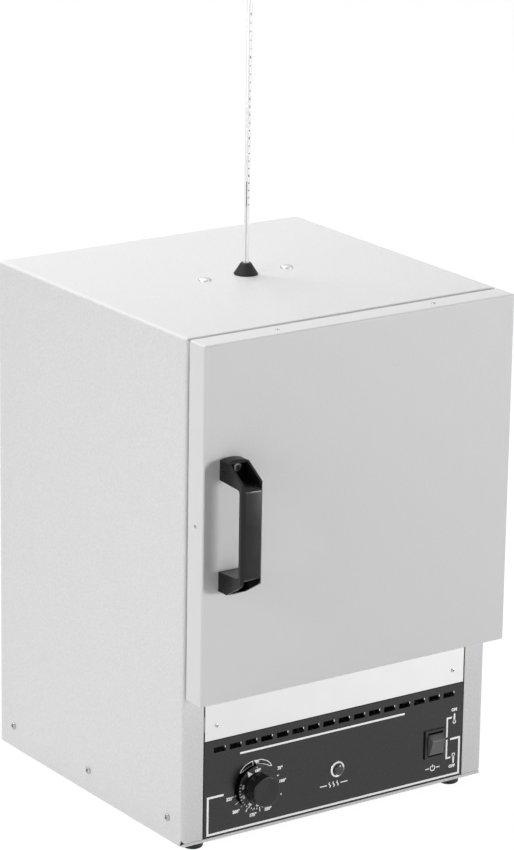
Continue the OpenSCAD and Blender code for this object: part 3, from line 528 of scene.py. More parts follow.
class Finish(Enum):
    """Every finish on the oven."""

    CABINET_PAINT = PowderCoat("cabinet_paint", grey(0.775), peel_depth=0.25, speckle=0.035)
    DOOR_PAINT = PowderCoat("door_paint", grey(0.77), peel_depth=0.1)
    PLATE = RolledSteel("plate", grey(0.59), 0.4, (0.03, 1, 1), 0.002, 0.012)
    PANEL_PAINT = PowderCoat("panel_paint", grey(0.006), 0.22, 2.2, 0.002, 0.06, 0.53)
    ZINC = RolledSteel("zinc", (0.62, 0.63, 0.65), 0.35, (1, 1, 1), 0.01)
    BRIGHT_STEEL = RolledSteel("bright_steel", (0.58, 0.585, 0.59), 0.36, (1, 0.04, 1), 0.006, 0.05)
    WIRE = RolledSteel("wire", (0.74, 0.75, 0.76), 0.18, (1, 0.1, 1), 0.004)
    SCREW = RolledSteel("screw", (0.5, 0.5, 0.51), 0.16, (1, 1, 1), 0.006)
    RING = RolledSteel("ring", (0.82, 0.82, 0.83), 0.14, (1, 1, 1), 0.002)
    SHEATH = RolledSteel("sheath", (0.2, 0.15, 0.12), 0.45, (1, 0.2, 1), 0.01)
    COPPER = RolledSteel("copper", (0.72, 0.42, 0.27), 0.3, (1, 1, 1), 0.004)
    CERAMIC = Moulding("ceramic", (0.82, 0.79, 0.72), 0.25, 1.2, 0.006, 0.5)
    BLACK_OXIDE = RolledSteel("black_oxide", (0.16, 0.16, 0.165), 0.26, (1, 1, 1), 0.002)
    NICKEL = RolledSteel("nickel", grey(0.6), 0.42, (1, 1, 1), 0.001, 0.02)
    # Bright bare metal of the slot edges, partly a painted highlight
    BARE_EDGE_GLINT = RolledSteel("bare_edge_glint", grey(0.8), 0.3, (1, 1, 0.1), 0.004)
    GASKET = Moulding("gasket", grey(0.05), 0.6, 0.6, 0.02, 0.3)
    RUBBER = Moulding("rubber", grey(0.012), 0.5, 0.4, 0.02, 0.35)
    HANDLE = Moulding("handle", grey(0.006), 0.3, 0.45, 0.008, 0.3)
    DIAL = Moulding("dial", grey(0.007), 0.28, 0.5, 0.003, 0.42)
    SOCKET = Moulding("socket", grey(0.014), 0.4, 0.5, 0.006, 0.4)
    PADDLE = Moulding("paddle", (0.105, 0.105, 0.108), 0.34, 0.5, 0.004, 0.5)
    LENS = Moulding("lens", grey(0.06), 0.16, 0.8, 0.002, 0.5)
    PHENOLIC = Moulding("phenolic", (0.22, 0.13, 0.075), 0.5, 0.6, 0.01)
    MAGNET = Moulding("magnet", (0.05, 0.05, 0.052), 0.55, 0.3, 0.02)
    COLUMN = Moulding("column", (0.06, 0.06, 0.07), 0.3, 0.5, 0.001)
    WOOL = Wool("wool", (0.72, 0.66, 0.4))
    STEM_PAINT = Ink("stem_paint", grey(0.85))
    STEM = StemGlass()
    WHITE_INK = Ink("white_ink", grey(0.96), 2.2, 1.0)
    BLACK_INK = Ink("black_ink", grey(0.03))
    BORE_INK = Ink("bore_ink", grey(0.45))

    def get(self) -> bpy.types.Material:
        """Give the material, built the first time it is asked for."""
        found = bpy.data.materials.get(f"{self.value.name}_finish")
        return found if found is not None else self.value.material()


NODE_FINISHES: dict[Finish, tuple[str, ...]] = {
    Finish.CABINET_PAINT: ("wrapper", "back_panel", "base_pan"),
    Finish.DOOR_PAINT: ("door_skin",),
    Finish.PLATE: ("face_plate",),
    Finish.PANEL_PAINT: ("control_panel",),
    Finish.BRIGHT_STEEL: ("chamber_liner", "shelf_supports", "diffuser_plate", "door_inner_panel",
                          "hinge_case_leaf", "hinge_door_leaf", "hinge_pin", "strike_plate"),
    Finish.ZINC: ("mid_deck", "element_supports", "thermostat_nut", "vent_tube", "foot_screws",
                  "handle_nuts", "thermostat_shaft"),
    Finish.WIRE: ("upper_shelf", "lower_shelf"),
    Finish.SCREW: ("back_screws", "side_screws", "plate_screws", "top_screws", "door_screws",
                   "hinge_case_screws", "hinge_door_screws"),
    Finish.BLACK_OXIDE: ("handle_screws",),
    Finish.RING: ("lamp_bezel",),
    Finish.SHEATH: ("heating_element",),
    Finish.COPPER: ("thermostat_bulb",),
    Finish.CERAMIC: ("element_bushings",),
    Finish.GASKET: ("door_gasket",),
    Finish.RUBBER: ("feet", "stopper", "cord_gland"),
    Finish.HANDLE: ("handle",),
    Finish.DIAL: ("dial_skirt", "knob_cap"),
    Finish.SOCKET: ("switch_housing",),
    Finish.PADDLE: ("rocker_paddle",),
    Finish.LENS: ("lamp_lens",),
    Finish.PHENOLIC: ("thermostat",),
    Finish.MAGNET: ("catch_magnet",),
    Finish.COLUMN: ("thermometer_column",),
    Finish.WOOL: ("insulation_top", "insulation_sides", "insulation_back", "insulation_floor",
                  "door_insulation"),
    Finish.STEM: ("thermometer_glass",),
}


# The oven


@dataclass
class Cabinet:
    """The oven's own axes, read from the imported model."""

    nodes: dict[str, bpy.types.Object]
    front: float = field(init=False)
    base: float = field(init=False)

    PANEL_RISE = 0.4

    def __post_init__(self) -> None:
        """Find the front face and the lower edge of the posts."""
        low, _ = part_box("control_panel")
        self.front, self.base = low.y / MM, low.z / MM - self.PANEL_RISE

    def box(self, node: str) -> tuple[np.ndarray, np.ndarray]:
        """Give a node's lowest and highest corners on the oven's axes.

        Args:
            node: Name of the node.

        Returns:
            The two corners in millimetres.
        """
        shift = np.array([0, self.front, self.base])
        low, high = (np.array(corner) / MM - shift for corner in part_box(node))
        return low, high

    def place(self, shell: Shell, name: str, finish: Finish, body: str, smooth: float | None = 30.0,
              replaces: Sequence[str] = ()) -> bpy.types.Object:
        """Make a piece from a shell given on the oven's axes.

        Args:
            shell: Points in millimetres on the oven's axes.
            name: Name of the piece.
            finish: Its finish.
            body: The body that it moves with.
            smooth: Angle in degrees under which edges are shaded smooth.
            replaces: Nodes that it stands for.

        Returns:
            The piece, with its place in its mesh.
        """
        points = (shell.points + np.array([0, self.front, self.base])) * MM
        mesh = bpy.data.meshes.new(name)
        mesh.from_pydata(points.tolist(), [], shell.faces)
        work = bmesh.new()
        work.from_mesh(mesh)
        bmesh.ops.remove_doubles(work, verts=work.verts, dist=1e-7)
        bmesh.ops.recalc_face_normals(work, faces=work.faces)
        work.to_mesh(mesh)
        work.free()
        if smooth is not None:
            mesh.shade_smooth()
            mesh.set_sharp_from_angle(angle=math.radians(smooth))
        return self.settle(mesh, name, finish, body, replaces)

    def settle(self, mesh: bpy.types.Mesh, name: str, finish: Finish, body: str,
               replaces: Sequence[str]) -> bpy.types.Object:
        """Make a piece of a finished mesh and hang it on its body.

        Args:
            mesh: The mesh, in its place.
            name: Name of the piece.
            finish: Its finish.
            body: The body that it moves with.
            replaces: Nodes that it stands for.

        Returns:
            The piece.
        """
        mesh.materials.clear()
        mesh.materials.append(finish.get())
        piece = bpy.data.objects.new(name, mesh)
        into_scene(piece)
        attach(piece, body)
        if replaces:
            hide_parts(*replaces)
        log.info("%s: %d faces on %s", name, len(mesh.polygons), body)
        return piece

    def dress(self) -> None:
        """Give every node its finish."""
        for finish, names in NODE_FINISHES.items():
            for name in names:
                materials = self.nodes[name].data.materials
                materials.clear()
                materials.append(finish.get())
        bare = set(self.nodes) - {name for names in NODE_FINISHES.values() for name in names}
        log.info("%d nodes dressed, left bare: %s", len(self.nodes), sorted(bare) or "none")

    def softened(self, node: str, radius: float, finish: Finish, body: str,
                 segments: int = 3) -> bpy.types.Object:
        """Copy a node with its sharp edges rounded, to stand for it.

        Args:
            node: The node to copy.
            radius: Radius of the rounded edges.
            finish: Its finish.
            body: The body that it moves with.
            segments: Faces across a rounded edge.

        Returns:
            The new piece.
        """
        mesh = self.nodes[node].data.copy()
        mesh.name = f"{node}_moulded"
        work = bmesh.new()
        work.from_mesh(mesh)
        bmesh.ops.remove_doubles(work, verts=work.verts, dist=1e-6)
        bmesh.ops.dissolve_limit(work, angle_limit=math.radians(1), verts=work.verts, edges=work.edges)
        work.to_mesh(mesh)
        work.free()
        mesh.shade_smooth()
        mesh.set_sharp_from_angle(angle=math.radians(45))
        piece = self.settle(mesh, mesh.name, finish, body, (node,))
        bevel = piece.modifiers.new("edges", "BEVEL")
        bevel.width, bevel.segments, bevel.limit_method = radius * MM, segments, "ANGLE"
        bevel.angle_limit, bevel.harden_normals = math.radians(32), True
        return piece


@dataclass
class PanScrews:
    """Pan heads with a cross recess, and the roof's plain domes."""

    cabinet: Cabinet
    pan: float = 3.9
    small: float = 2.1
    dome: float = 6.8
    crown: float = 0.42
    rim: float = 0.1
    arm: float = 0.62
    arm_width: float = 0.2
    steps: int = 72

    def bar(self, across: np.ndarray, along: np.ndarray) -> np.ndarray:
        """Give 1 within one bar of the cross, and 0 outside its sloping walls."""
        walls = np.clip((self.arm_width - np.abs(across)) / 0.07, 0, 1)
        return walls * np.clip((self.arm - np.abs(along)) / 0.12, 0, 1)

    def head(self, radius: float, height: float, turn: float, recess: float = 0.75) -> Shell:
        """Work out one head as a height over a disc.

        The height is a flat dome, h (1 - c (r / R)^2), that drops to zero in a
        rounded rim, less a cross whose arms fade out at arm times R. The
        underside is the same disc at height zero.

        Args:
            radius: Radius R of the head.
            height: Height h of the head.
            turn: Angle of the cross in degrees.
            recess: Depth of the cross as a share of the height.

        Returns:
            The closed shell, its axis along +z.
        """
        n, flat = self.steps, 1 - self.rim
        share = np.concatenate([np.linspace(0, flat, 22),
                                1 - self.rim * np.cos(np.linspace(0, math.pi / 2, 7))[1:]])
        angle = np.linspace(0, 2 * math.pi, n, endpoint=False)
        r, t = share[:, None], angle[None, :]
        rim = np.sqrt(np.clip(1 - (np.clip(r - flat, 0, self.rim) / self.rim) ** 2, 0, 1))
        x, y = r * np.cos(t - math.radians(turn)), r * np.sin(t - math.radians(turn))
        z = height * ((1 - self.crown * r**2) * rim - recess * np.maximum(self.bar(x, y), self.bar(y, x)))
        top = np.stack([radius * r * np.cos(t), radius * r * np.sin(t), z + 0 * t], -1).reshape(-1, 3)
        base = np.stack([radius * np.cos(angle), radius * np.sin(angle), np.full(n, -0.05)], -1)
        last = (len(share) - 1) * n
        faces = grid_faces(len(share), n, False, True)
        faces += [(last + i, last + (i + 1) % n, last + n + (i + 1) % n, last + n + i) for i in range(n)]
        faces.append(tuple(range(last + 2 * n - 1, last + n - 1, -1)))
        return Shell(np.vstack([top, base]), faces)

    def fit(self, heads: Sequence[Shell], kind: str, node: str, body: str = "cabinet",
            finish: Finish = Finish.SCREW) -> None:
        """Place heads as one piece, named after its kind, that stands for its node."""
        self.cabinet.place(joined(heads), f"{kind}_screw_heads", finish, body, 40, (node,))

    def build(self) -> None:
        """Make the heads of the side, plate, roof, door and back screws."""
        box = self.cabinet.box
        case = box("wrapper")[1]
        low, high = box("side_screws")
        rows = (low[1] + self.pan, (low[1] + high[1]) / 2, high[1] - self.pan)
        self.fit([self.head(self.pan, 2.6, 20 + 25 * i).turned(way).moved((x, y, (low[2] + high[2]) / 2))
                  for x, way in ((-case[0], TO_LEFT), (case[0], TO_RIGHT)) for i, y in enumerate(rows)],
                 "side", "side_screws")
        low, high = box("plate_screws")
        x, z = high[0] - self.small, (low[2] + high[2]) / 2
        self.fit([self.head(self.small, 1.1, 15 * side).turned(TO_FRONT).moved((side * x, 0, z))
                  for side in (-1, 1)], "plate", "plate_screws")
        low, high = box("top_screws")
        x, y = high[0] - self.dome, (low[1] + high[1]) / 2
        self.fit([self.head(self.dome, 2.7, 35 * side, 0.0).moved((side * x, y, case[2]))
                  for side in (-1, 1)], "roof", "top_screws", finish=Finish.NICKEL)
        self.door()
        self.back()

    def door(self) -> None:
        """Make the two heads in the door's top edge and the one in its free edge."""
        high = self.cabinet.box("door_screws")[1]
        skin_low, skin_high = self.cabinet.box("door_skin")
        x, (_, y, z) = high[0] - self.small, (skin_low + skin_high) / 2
        heads = [self.head(self.small, 0.9, 10).moved((side * x, y, skin_high[2])) for side in (-1, 1)]
        heads.append(self.head(self.small, 0.9, 40).turned(TO_LEFT).moved((skin_low[0], y, z)))
        self.fit(heads, "door", "door_screws", "door")

    def back(self) -> None:
        """Make the heads round the back panel."""
        low, high = self.cabinet.box("back_screws")
        half, _, roof = self.cabinet.box("wrapper")[1]
        levels = (low[2] + self.pan, roof / 2, roof - low[2] - self.pan)
        spots = [(side * (high[0] - self.pan), z) for side in (-1, 1) for z in levels]
        spots += [(x, high[2] - self.pan) for x in (-half / 2, 0, half / 2)]
        face = self.cabinet.box("back_panel")[1][1]
        self.fit([self.head(self.pan, 2.4, 17 * i).turned(TO_BACK).moved((x, face, z))
                  for i, (x, z) in enumerate(spots)], "back", "back_screws")


@dataclass
class DoorSeal:
    """Hollow silicone bead between door and cabinet."""

    cabinet: Cabinet
    corner: float = 9.0
    half_width: float = 4.9
    inset: float = 5.0
    foot: float = 1.2

    def build(self) -> None:
        """Carry the bead's section round the door.

        The path is a rectangle with rounded corners. The section is a flat foot
        on the door and a rounded top towards the cabinet: at angle a it is
        0.9 w sin a across and f + (d - f) sqrt(cos a) high, with w the half
        width, f the foot and d the depth.
        """
        low, high = self.cabinet.box("door_gasket")
        depth, middle = high[1] - low[1], (high[2] + low[2]) / 2
        r = self.corner
        x, z = high[0] - self.inset - r, (high[2] - low[2]) / 2 - self.inset - r
        path = np.vstack([arc(centre, r, 90 * i, 90 * i + 90, 9)
                          for i, centre in enumerate(((x, z), (-x, z), (-x, -z), (x, -z)))])
        angle = np.radians(np.concatenate([np.linspace(0, 90, 9) + 90 * i for i in range(4)]))
        out = np.stack([np.cos(angle), np.sin(angle)], -1)
        a = np.radians(np.linspace(-90, 90, 17))
        across = self.half_width * np.concatenate([[-0.92], np.sin(a) * 0.9, [0.92]])
        rise = np.concatenate([[0], self.foot + (depth - self.foot) * np.sqrt(np.cos(a).clip(0, 1)), [0]])
        ring = path[:, None, :] + out[:, None, :] * across[None, :, None]
        points = np.stack([ring[..., 0], low[1] + np.broadcast_to(rise, ring.shape[:2]),
                           ring[..., 1] + middle], -1)
        shell = Shell(points.reshape(-1, 3), grid_faces(len(path), len(across), True, True))
        self.cabinet.place(shell, "gasket_bead", Finish.GASKET, "door", 50, ("door_gasket",))


@dataclass
class SlotEdgeGlints:
    """Bare metal high on the punched right-hand walls of the panel's slots: part bare edge, part painted
    highlight.
    """

    cabinet: Cabinet
    count: int = 16
    pitch: float = 18.75
    size: tuple[float, float] = (13.8, 5.6)
    drop: float = 10.2
    sheet: float = 1.2
    skin: float = 0.8
    behind: float = 0.1

    def build(self) -> None:
        """Set a thin bright slab on each wall, a little behind the painted face, as a painted highlight."""
        level = self.cabinet.box("control_panel")[1][2] - self.drop
        wide, tall = self.size
        # Painted highlight: bright metal only from 0.1 to 0.46 of the slot's height, where the specks of
        # light show
        x0, x1 = wide / 2 - self.skin, wide / 2 - 0.01
        z0, z1 = level + 0.1 * tall, level + 0.46 * tall
        one = slab([(x0, z0), (x1, z0), (x1, z1), (x0, z1)], self.sheet - 2 * self.behind)
        shells = [one.moved(((i - (self.count - 1) / 2) * self.pitch, 0, self.behind - self.sheet))
                  for i in range(self.count)]
        shell = joined(shells).turned(TO_FRONT)
        self.cabinet.place(shell, "slot_edge_glints", Finish.BARE_EDGE_GLINT, "cabinet", None)


@dataclass
class PanelPrint:
    """White print on the black panel: border, scale, bracket and signs."""

    cabinet: Cabinet
    ink: float = 0.06
    line: float = 2.2
    left: float = -154.1
    right: float = 155.6
    low: float = 2.9
    shoulder: float = 42.0

    def on_panel(self, shells: Sequence[Shell]) -> Shell:
        """Stand plane shells (u, v, w) on the panel's face as (u, -w, v)."""
        return joined(shells).turned(TO_FRONT)

    def lines(self) -> list[Shell]:
        """Draw the border, the line under the slots and the switch's bracket.

        Returns:
            The lines as flat shells.
        """
        border = [(-135.4, self.shoulder), (self.left, self.shoulder), (self.left, self.low),
                  (self.right, self.low), (self.right, self.shoulder), (143.9, self.shoulder)]
        return [stroke(border, self.line, self.ink),
                stroke([(-116.3, 81.8), (84.9, 81.8)], 2.1, self.ink),
                stroke([(145.4, 65.4), (139.6, 65.4), (139.6, 44.6)], 1.9, self.ink),
                stroke([(139.6, 42.4), (139.6, 22), (144.9, 22)], 1.9, self.ink)]

    def crescent(self, centre: Point) -> list[Shell]:
        """Draw the outlined crescent over the dial, split by a pointer.

        Each half runs along two arcs that meet near its tip: the inner radius
        grows as the square of the way from the top, and the outer one falls as
        its fourth power.

        Args:
            centre: The dial's centre.

        Returns:
            The outlines and the filled pointer.
        """
        shells = []
        share = np.linspace(0, 1, 18)
        outer, inner = 27.2 - 1.6 * share**4, 22.8 + 1.9 * share**2
        for start, stop in ((99, 137), (83, 43)):
            a = np.radians(start + (stop - start) * share)
            way = np.stack([np.cos(a), np.sin(a)], -1)
            ring = np.vstack([outer[:, None] * way, (inner[:, None] * way)[::-1][1:]])
            shells.append(stroke(ring + centre, 0.75, self.ink, True))
        shells.append(slab(np.array([(-2.6, 27.4), (0.8, 22.2), (3.7, 27.0)]) + centre, self.ink))
        return shells

    def dial_scale(self, centre: Point) -> list[Shell]:
        """Draw the figures and strokes of the scale round the dial.

        Args:
            centre: The dial's centre.

        Returns:
            The figures, strokes and dot.
        """
        x, z = centre
        figures = {"75°": (29.0, 12.9), "100°": (32.6, -1.4), "150°": (15.4, -27.6),
                   "175°": (-2.6, -30.2), "200°": (-23.2, -22.4), "225°": (-30.8, -7.4)}
        shells = [lettering(text, 3.3, self.ink).moved((x + u, z + v, 0)) for text, (u, v) in figures.items()]
        shells.append(slab(arc((x + 30.8, z - 15.6), 0.9, 0, 345, 24), self.ink))
        strokes = ((-148, 24.0, 28.4), (-114, 23.8, 28.0), (-79, 24.4, 29.2), (11, 24.2, 28.2),
                   (23, 24.2, 25.2), (1, 24.4, 25.6), (-166, 23.8, 25.6), (-132, 24.0, 25.8),
                   (-97, 24.0, 25.6), (-63, 24.4, 26.0))
        return shells + [spoke(centre, angle, near, far, 0.9, self.ink) for angle, near, far in strokes]

    def switch_signs(self) -> list[Shell]:
        """Draw ON, OFF and the two small toggles beside the bracket.

        Returns:
            The signs.
        """
        shells = [lettering("ON", 3.2, self.ink).moved((148.0, 73.6, 0)),
                  lettering("OFF", 3.2, self.ink).moved((146.9, 12.2, 0))]
        for z, way in ((63.6, 1), (20.8, -1)):
            lever = np.array([(-0.9, 5.6), (0.9, 5.6), (1.2, -2.2), (-1.2, -2.2)]) * (1, way)
            shells.append(slab(lever + (148.6, z), self.ink))
            shells.append(stroke(arc((148.6, z - 3.4 * way), 1.6, 0, 340, 20), 1.0, self.ink, True))
        return shells

    def captions(self) -> list[Shell]:
        """Draw a heat sign under the lamp and a power sign under the switch.

        Returns:
            Three rising waves between two bars, and a broken ring with a bar.
        """
        shells = []
        t = np.linspace(0, 1, 17)
        for shift in (-4.8, 0.0, 4.8):
            wave = np.stack([-2.0 + shift + 0.9 * np.sin(t * 2 * math.pi), 21.8 + 5.4 * t], -1)
            shells.append(stroke(wave, 1.1, self.ink))
        for x0, x1 in ((-19.0, -10.4), (6.4, 15.0)):
            shells.append(stroke([(x0, 24.5), (x1, 24.5)], 1.1, self.ink))
        ring = arc((122.2, 15.0), 2.8, 122, 418, 32)
        shells += [stroke(ring, 1.0, self.ink), stroke([(122.2, 15.6), (122.2, 18.9)], 1.0, self.ink)]
        for x0, x1 in ((113.2, 117.8), (126.6, 131.2)):
            shells.append(stroke([(x0, 15.0), (x1, 15.0)], 1.1, self.ink))
        return shells

    def build(self) -> None:
        """Print the panel."""
        low, high = self.cabinet.box("dial_skirt")
        dial = (low[0] + high[0]) / 2, (low[2] + high[2]) / 2
        for name, shells in (("panel_lines", self.lines()),
                             ("panel_scale", self.crescent(dial) + self.dial_scale(dial)),
                             ("panel_signs", self.switch_signs() + self.captions())):
            self.cabinet.place(self.on_panel(shells), name, Finish.WHITE_INK, "cabinet", None)


@dataclass
class PilotLamp:
    """Pilot lamp: a bright bezel, a black collar and a domed lens."""

    cabinet: Cabinet
    barrel: float = 6.7
    bore: float = 6.3
    crest: float = 1.7
    reach: float = 4.7

    def build(self) -> None:
        """Turn the three pieces about the lamp's axis."""
        low, high = self.cabinet.box("lamp_bezel")
        rim, depth = (high[0] - low[0]) / 2, high[1]
        tail = self.cabinet.box("lamp_lens")[1][1]
        middle = ((low[0] + high[0]) / 2, 0, (low[2] + high[2]) / 2)
        bore, crest, reach = self.bore, self.crest, self.reach
        bezel = [(bore, -depth), (self.barrel, -depth), (self.barrel, 0), (rim, 0), (rim, 0.35),
                 *arc((rim - 0.5, 0.5), 0.5, 0, 65, 5), (bore + 0.45, crest), (bore, crest - 0.2)]
        collar = [(5.7, 0.1), (bore, 0.1), (bore, crest - 0.3), (5.9, crest + 0.1), (5.7, crest)]
        lens = [(0, -tail), (bore - 0.1, -tail), (bore - 0.1, 0), (5.65, 0.1), (5.5, reach - 1.3),
                *arc((4.5, reach - 1.25), 0.95, 8, 70, 7), (2.4, reach - 0.1), (0, reach)]
        for name, profile, finish, replaces in (
                ("lamp_bezel_turned", bezel, Finish.RING, ("lamp_bezel",)),
                ("lamp_collar", collar, Finish.SOCKET, ()),
                ("lamp_lens_domed", lens, Finish.LENS, ("lamp_lens",))):
            shell = turned_solid(profile, 72).turned(TO_FRONT).moved(middle)
            self.cabinet.place(shell, name, finish, "cabinet", 35, replaces)


@dataclass
class Dial:
    """Turning knob: a printed skirt and a smooth cap."""

    cabinet: Cabinet
    ink: float = 0.05
    rim: float = 23.3
    bore: float = 3.1
    x: float = field(init=False)
    z: float = field(init=False)

    def build(self) -> None:
        """Make the rounded cap, and make and print the skirt."""
        low, high = self.cabinet.box("knob_cap")
        self.x, self.z = (low[0] + high[0]) / 2, (low[2] + high[2]) / 2
        self.cap(high[0] - self.x, -high[1], -low[1])
        low, high = self.cabinet.box("dial_skirt")
        self.skirt(-high[1], -low[1])
        self.skirt_print(-low[1])

    def cap(self, radius: float, seat: float, reach: float) -> None:
        """Turn the cap with a rolled front edge and a faintly dished face.

        Args:
            radius: Radius of the cap.
            seat: Where it starts in front of the panel.
            reach: Where it ends.
        """
        edge = arc((radius - 1.5, reach - 1.1), 1.1, 0, 90, 7)
        face = [(radius - 3.4, reach - 0.1), (radius * 0.5, reach - 0.35), (0, reach - 0.45)]
        bore = [(0, seat + 10), (self.bore, seat + 10), (self.bore, seat)]
        profile = [*bore, (radius, seat), (radius - 0.05, seat + 0.4), *edge, *face]
        shell = turned_solid(profile, 96).turned(TO_FRONT).moved((self.x, 0, self.z))
        self.cabinet.place(shell, "knob_cap_turned", Finish.DIAL, "knob", 35, ("knob_cap",))

    def skirt(self, back: float, face: float) -> None:
        """Turn the skirt, thin at its rim and undercut towards the panel.

        Args:
            back: Where its back stands in front of the panel.
            face: Where its face stands.
        """
        rim = self.rim
        lip = arc((rim - 0.4, face - 0.4), 0.4, 0, 90, 5)
        profile = [(self.bore, back), (rim - 3.4, back), (rim - 1.6, back + 0.9), (rim - 0.2, face - 1.3),
                   (rim, face - 1.0), *lip, (self.bore, face)]
        shell = turned_solid(profile, 128).turned(TO_FRONT).moved((self.x, 0, self.z))
        self.cabinet.place(shell, "dial_skirt_turned", Finish.DIAL, "knob", 35, ("dial_skirt",))

    def skirt_print(self, face: float) -> None:
        """Print the pointer, OFF, the strokes and the figures on the skirt.

        Args:
            face: How far the skirt's face stands in front of the panel.
        """
        lean = ((0.995, -0.1, 0), (0.1, 0.995, 0), (0, 0, 1))
        shells = [slab([(-13.4, 19.2), (-12.6, 13.0), (-7.0, 15.6)], self.ink),
                  lettering("OFF", 2.8, self.ink).turned(lean).moved((-1.2, 18.2, 0)),
                  stroke([(-2.1, 20.6), (-2.25, 22.2)], 0.7, self.ink)]
        shells += [spoke((0, 0), 162 + 8.6 * i, 20.4 if i % 5 == 4 else 21.4, 22.9, 0.85, self.ink)
                   for i in range(19)]
        for text, degrees in (("250", 168), ("225", 200), ("200", 238), ("175", 268)):
            a = math.radians(degrees)
            turn = a - math.pi / 2 if degrees < 200 else a + math.pi / 2
            c, s = math.cos(turn), math.sin(turn)
            figure = lettering(text, 2.1, self.ink).turned(((c, -s, 0), (s, c, 0), (0, 0, 1)))
            shells.append(figure.moved((18.9 * math.cos(a), 18.9 * math.sin(a), 0)))
        shell = joined(shells).turned(TO_FRONT).moved((self.x, -face, self.z))
        self.cabinet.place(shell, "skirt_print", Finish.WHITE_INK, "knob", None)


@dataclass
class Thermometer:
    """Marks of the thermometer, wrapped on its stem."""

    cabinet: Cabinet
    first: float = 71.8
    pitch: float = 7.2
    growth: float = 0.034
    marks: int = 25
    facing: float = -125.0
    spirit: tuple[float, float] = (69.8, 95.4)
    bore: float = -0.3

    def build(self) -> None:
        """Wrap the scale, the bore, the spirit and the white back round the stem.

        Mark i stands at first + pitch i + growth i^2, as a spirit's scale opens
        with heat.
        """
        top = self.cabinet.box("thermometer_glass")[1][2] - self.cabinet.box("wrapper")[1][2] - 6
        marks = []
        for i in range(self.marks):
            h = self.first + self.pitch * i + self.growth * i**2
            marks.append(stroke([(1.2, h), (2.2, h)], 2.6 if i % 5 == 4 else 1.3, 0.04))
        self.wrap(marks, "stem_scale", Finish.BLACK_INK)
        start, stop = self.spirit
        self.wrap([self.upright(self.bore, np.linspace(8, start, 5), 0.6, 0.03)], "stem_bore",
                  Finish.BORE_INK)
        self.wrap([self.upright(self.bore, np.linspace(start, stop, 5), 0.75, 0.03)], "stem_spirit",
                  Finish.BLACK_INK)
        half_round = math.pi * self.stem()[2]
        self.wrap([self.upright(half_round + shift, np.linspace(-60, top, 12), 1.0, 0.02)
                   for shift in (-1.6, -0.5, 0.6, 1.7)], "stem_back", Finish.STEM_PAINT)

    def stem(self) -> tuple[float, float, float]:
        """Give the place of the stem's axis, x and y, and its radius."""
        low, high = self.cabinet.box("thermometer_glass")
        return (low[0] + high[0]) / 2, (low[1] + high[1]) / 2, (high[0] - low[0]) / 2

    def upright(self, across: float, heights: np.ndarray, width: float, thick: float) -> Shell:
        """Lay one flat line along the stem through the given heights."""
        return stroke([(across, h) for h in heights], width, thick)

    def wrap(self, shells: Sequence[Shell], name: str, finish: Finish) -> None:
        """Wrap flat shells round the stem, and place them.

        A flat mark at (s, h) becomes (R sin(a + s / R), -R cos(a + s / R), h),
        with R the stem's radius and a where the scale faces.

        Args:
            shells: The marks, with heights counted from the roof.
            name: Name of the piece.
            finish: Its finish.
        """
        flat = joined(shells)
        x, y, radius = self.stem()
        a = math.radians(self.facing + 90) + flat.points[:, 0] / radius
        r = radius + 0.01 + flat.points[:, 2]
        height = self.cabinet.box("wrapper")[1][2] + flat.points[:, 1]
        points = np.stack([x + r * np.sin(a), y - r * np.cos(a), height], -1)
        self.cabinet.place(Shell(points, flat.faces), name, finish, "thermometer", None)


# The studio


@dataclass(frozen=True)
class SoftBox:
    """One rectangular lamp: where it hangs, what it faces, its size and power."""

    name: str
    place: tuple[float, float, float]
    aim: tuple[float, float, float]
    size: tuple[float, float]
    power: float

    def hang(self) -> None:
        """Hang the lamp in the scene."""
        data = bpy.data.lights.new(self.name, "AREA")
        data.shape, data.energy = "RECTANGLE", self.power
        data.size, data.size_y = self.size
        lamp = bpy.data.objects.new(self.name, data)
        lamp.location = self.place
        lamp.rotation_euler = (Vector(self.aim) - Vector(self.place)).to_track_quat("-Z", "Y").to_euler()
        into_scene(lamp)


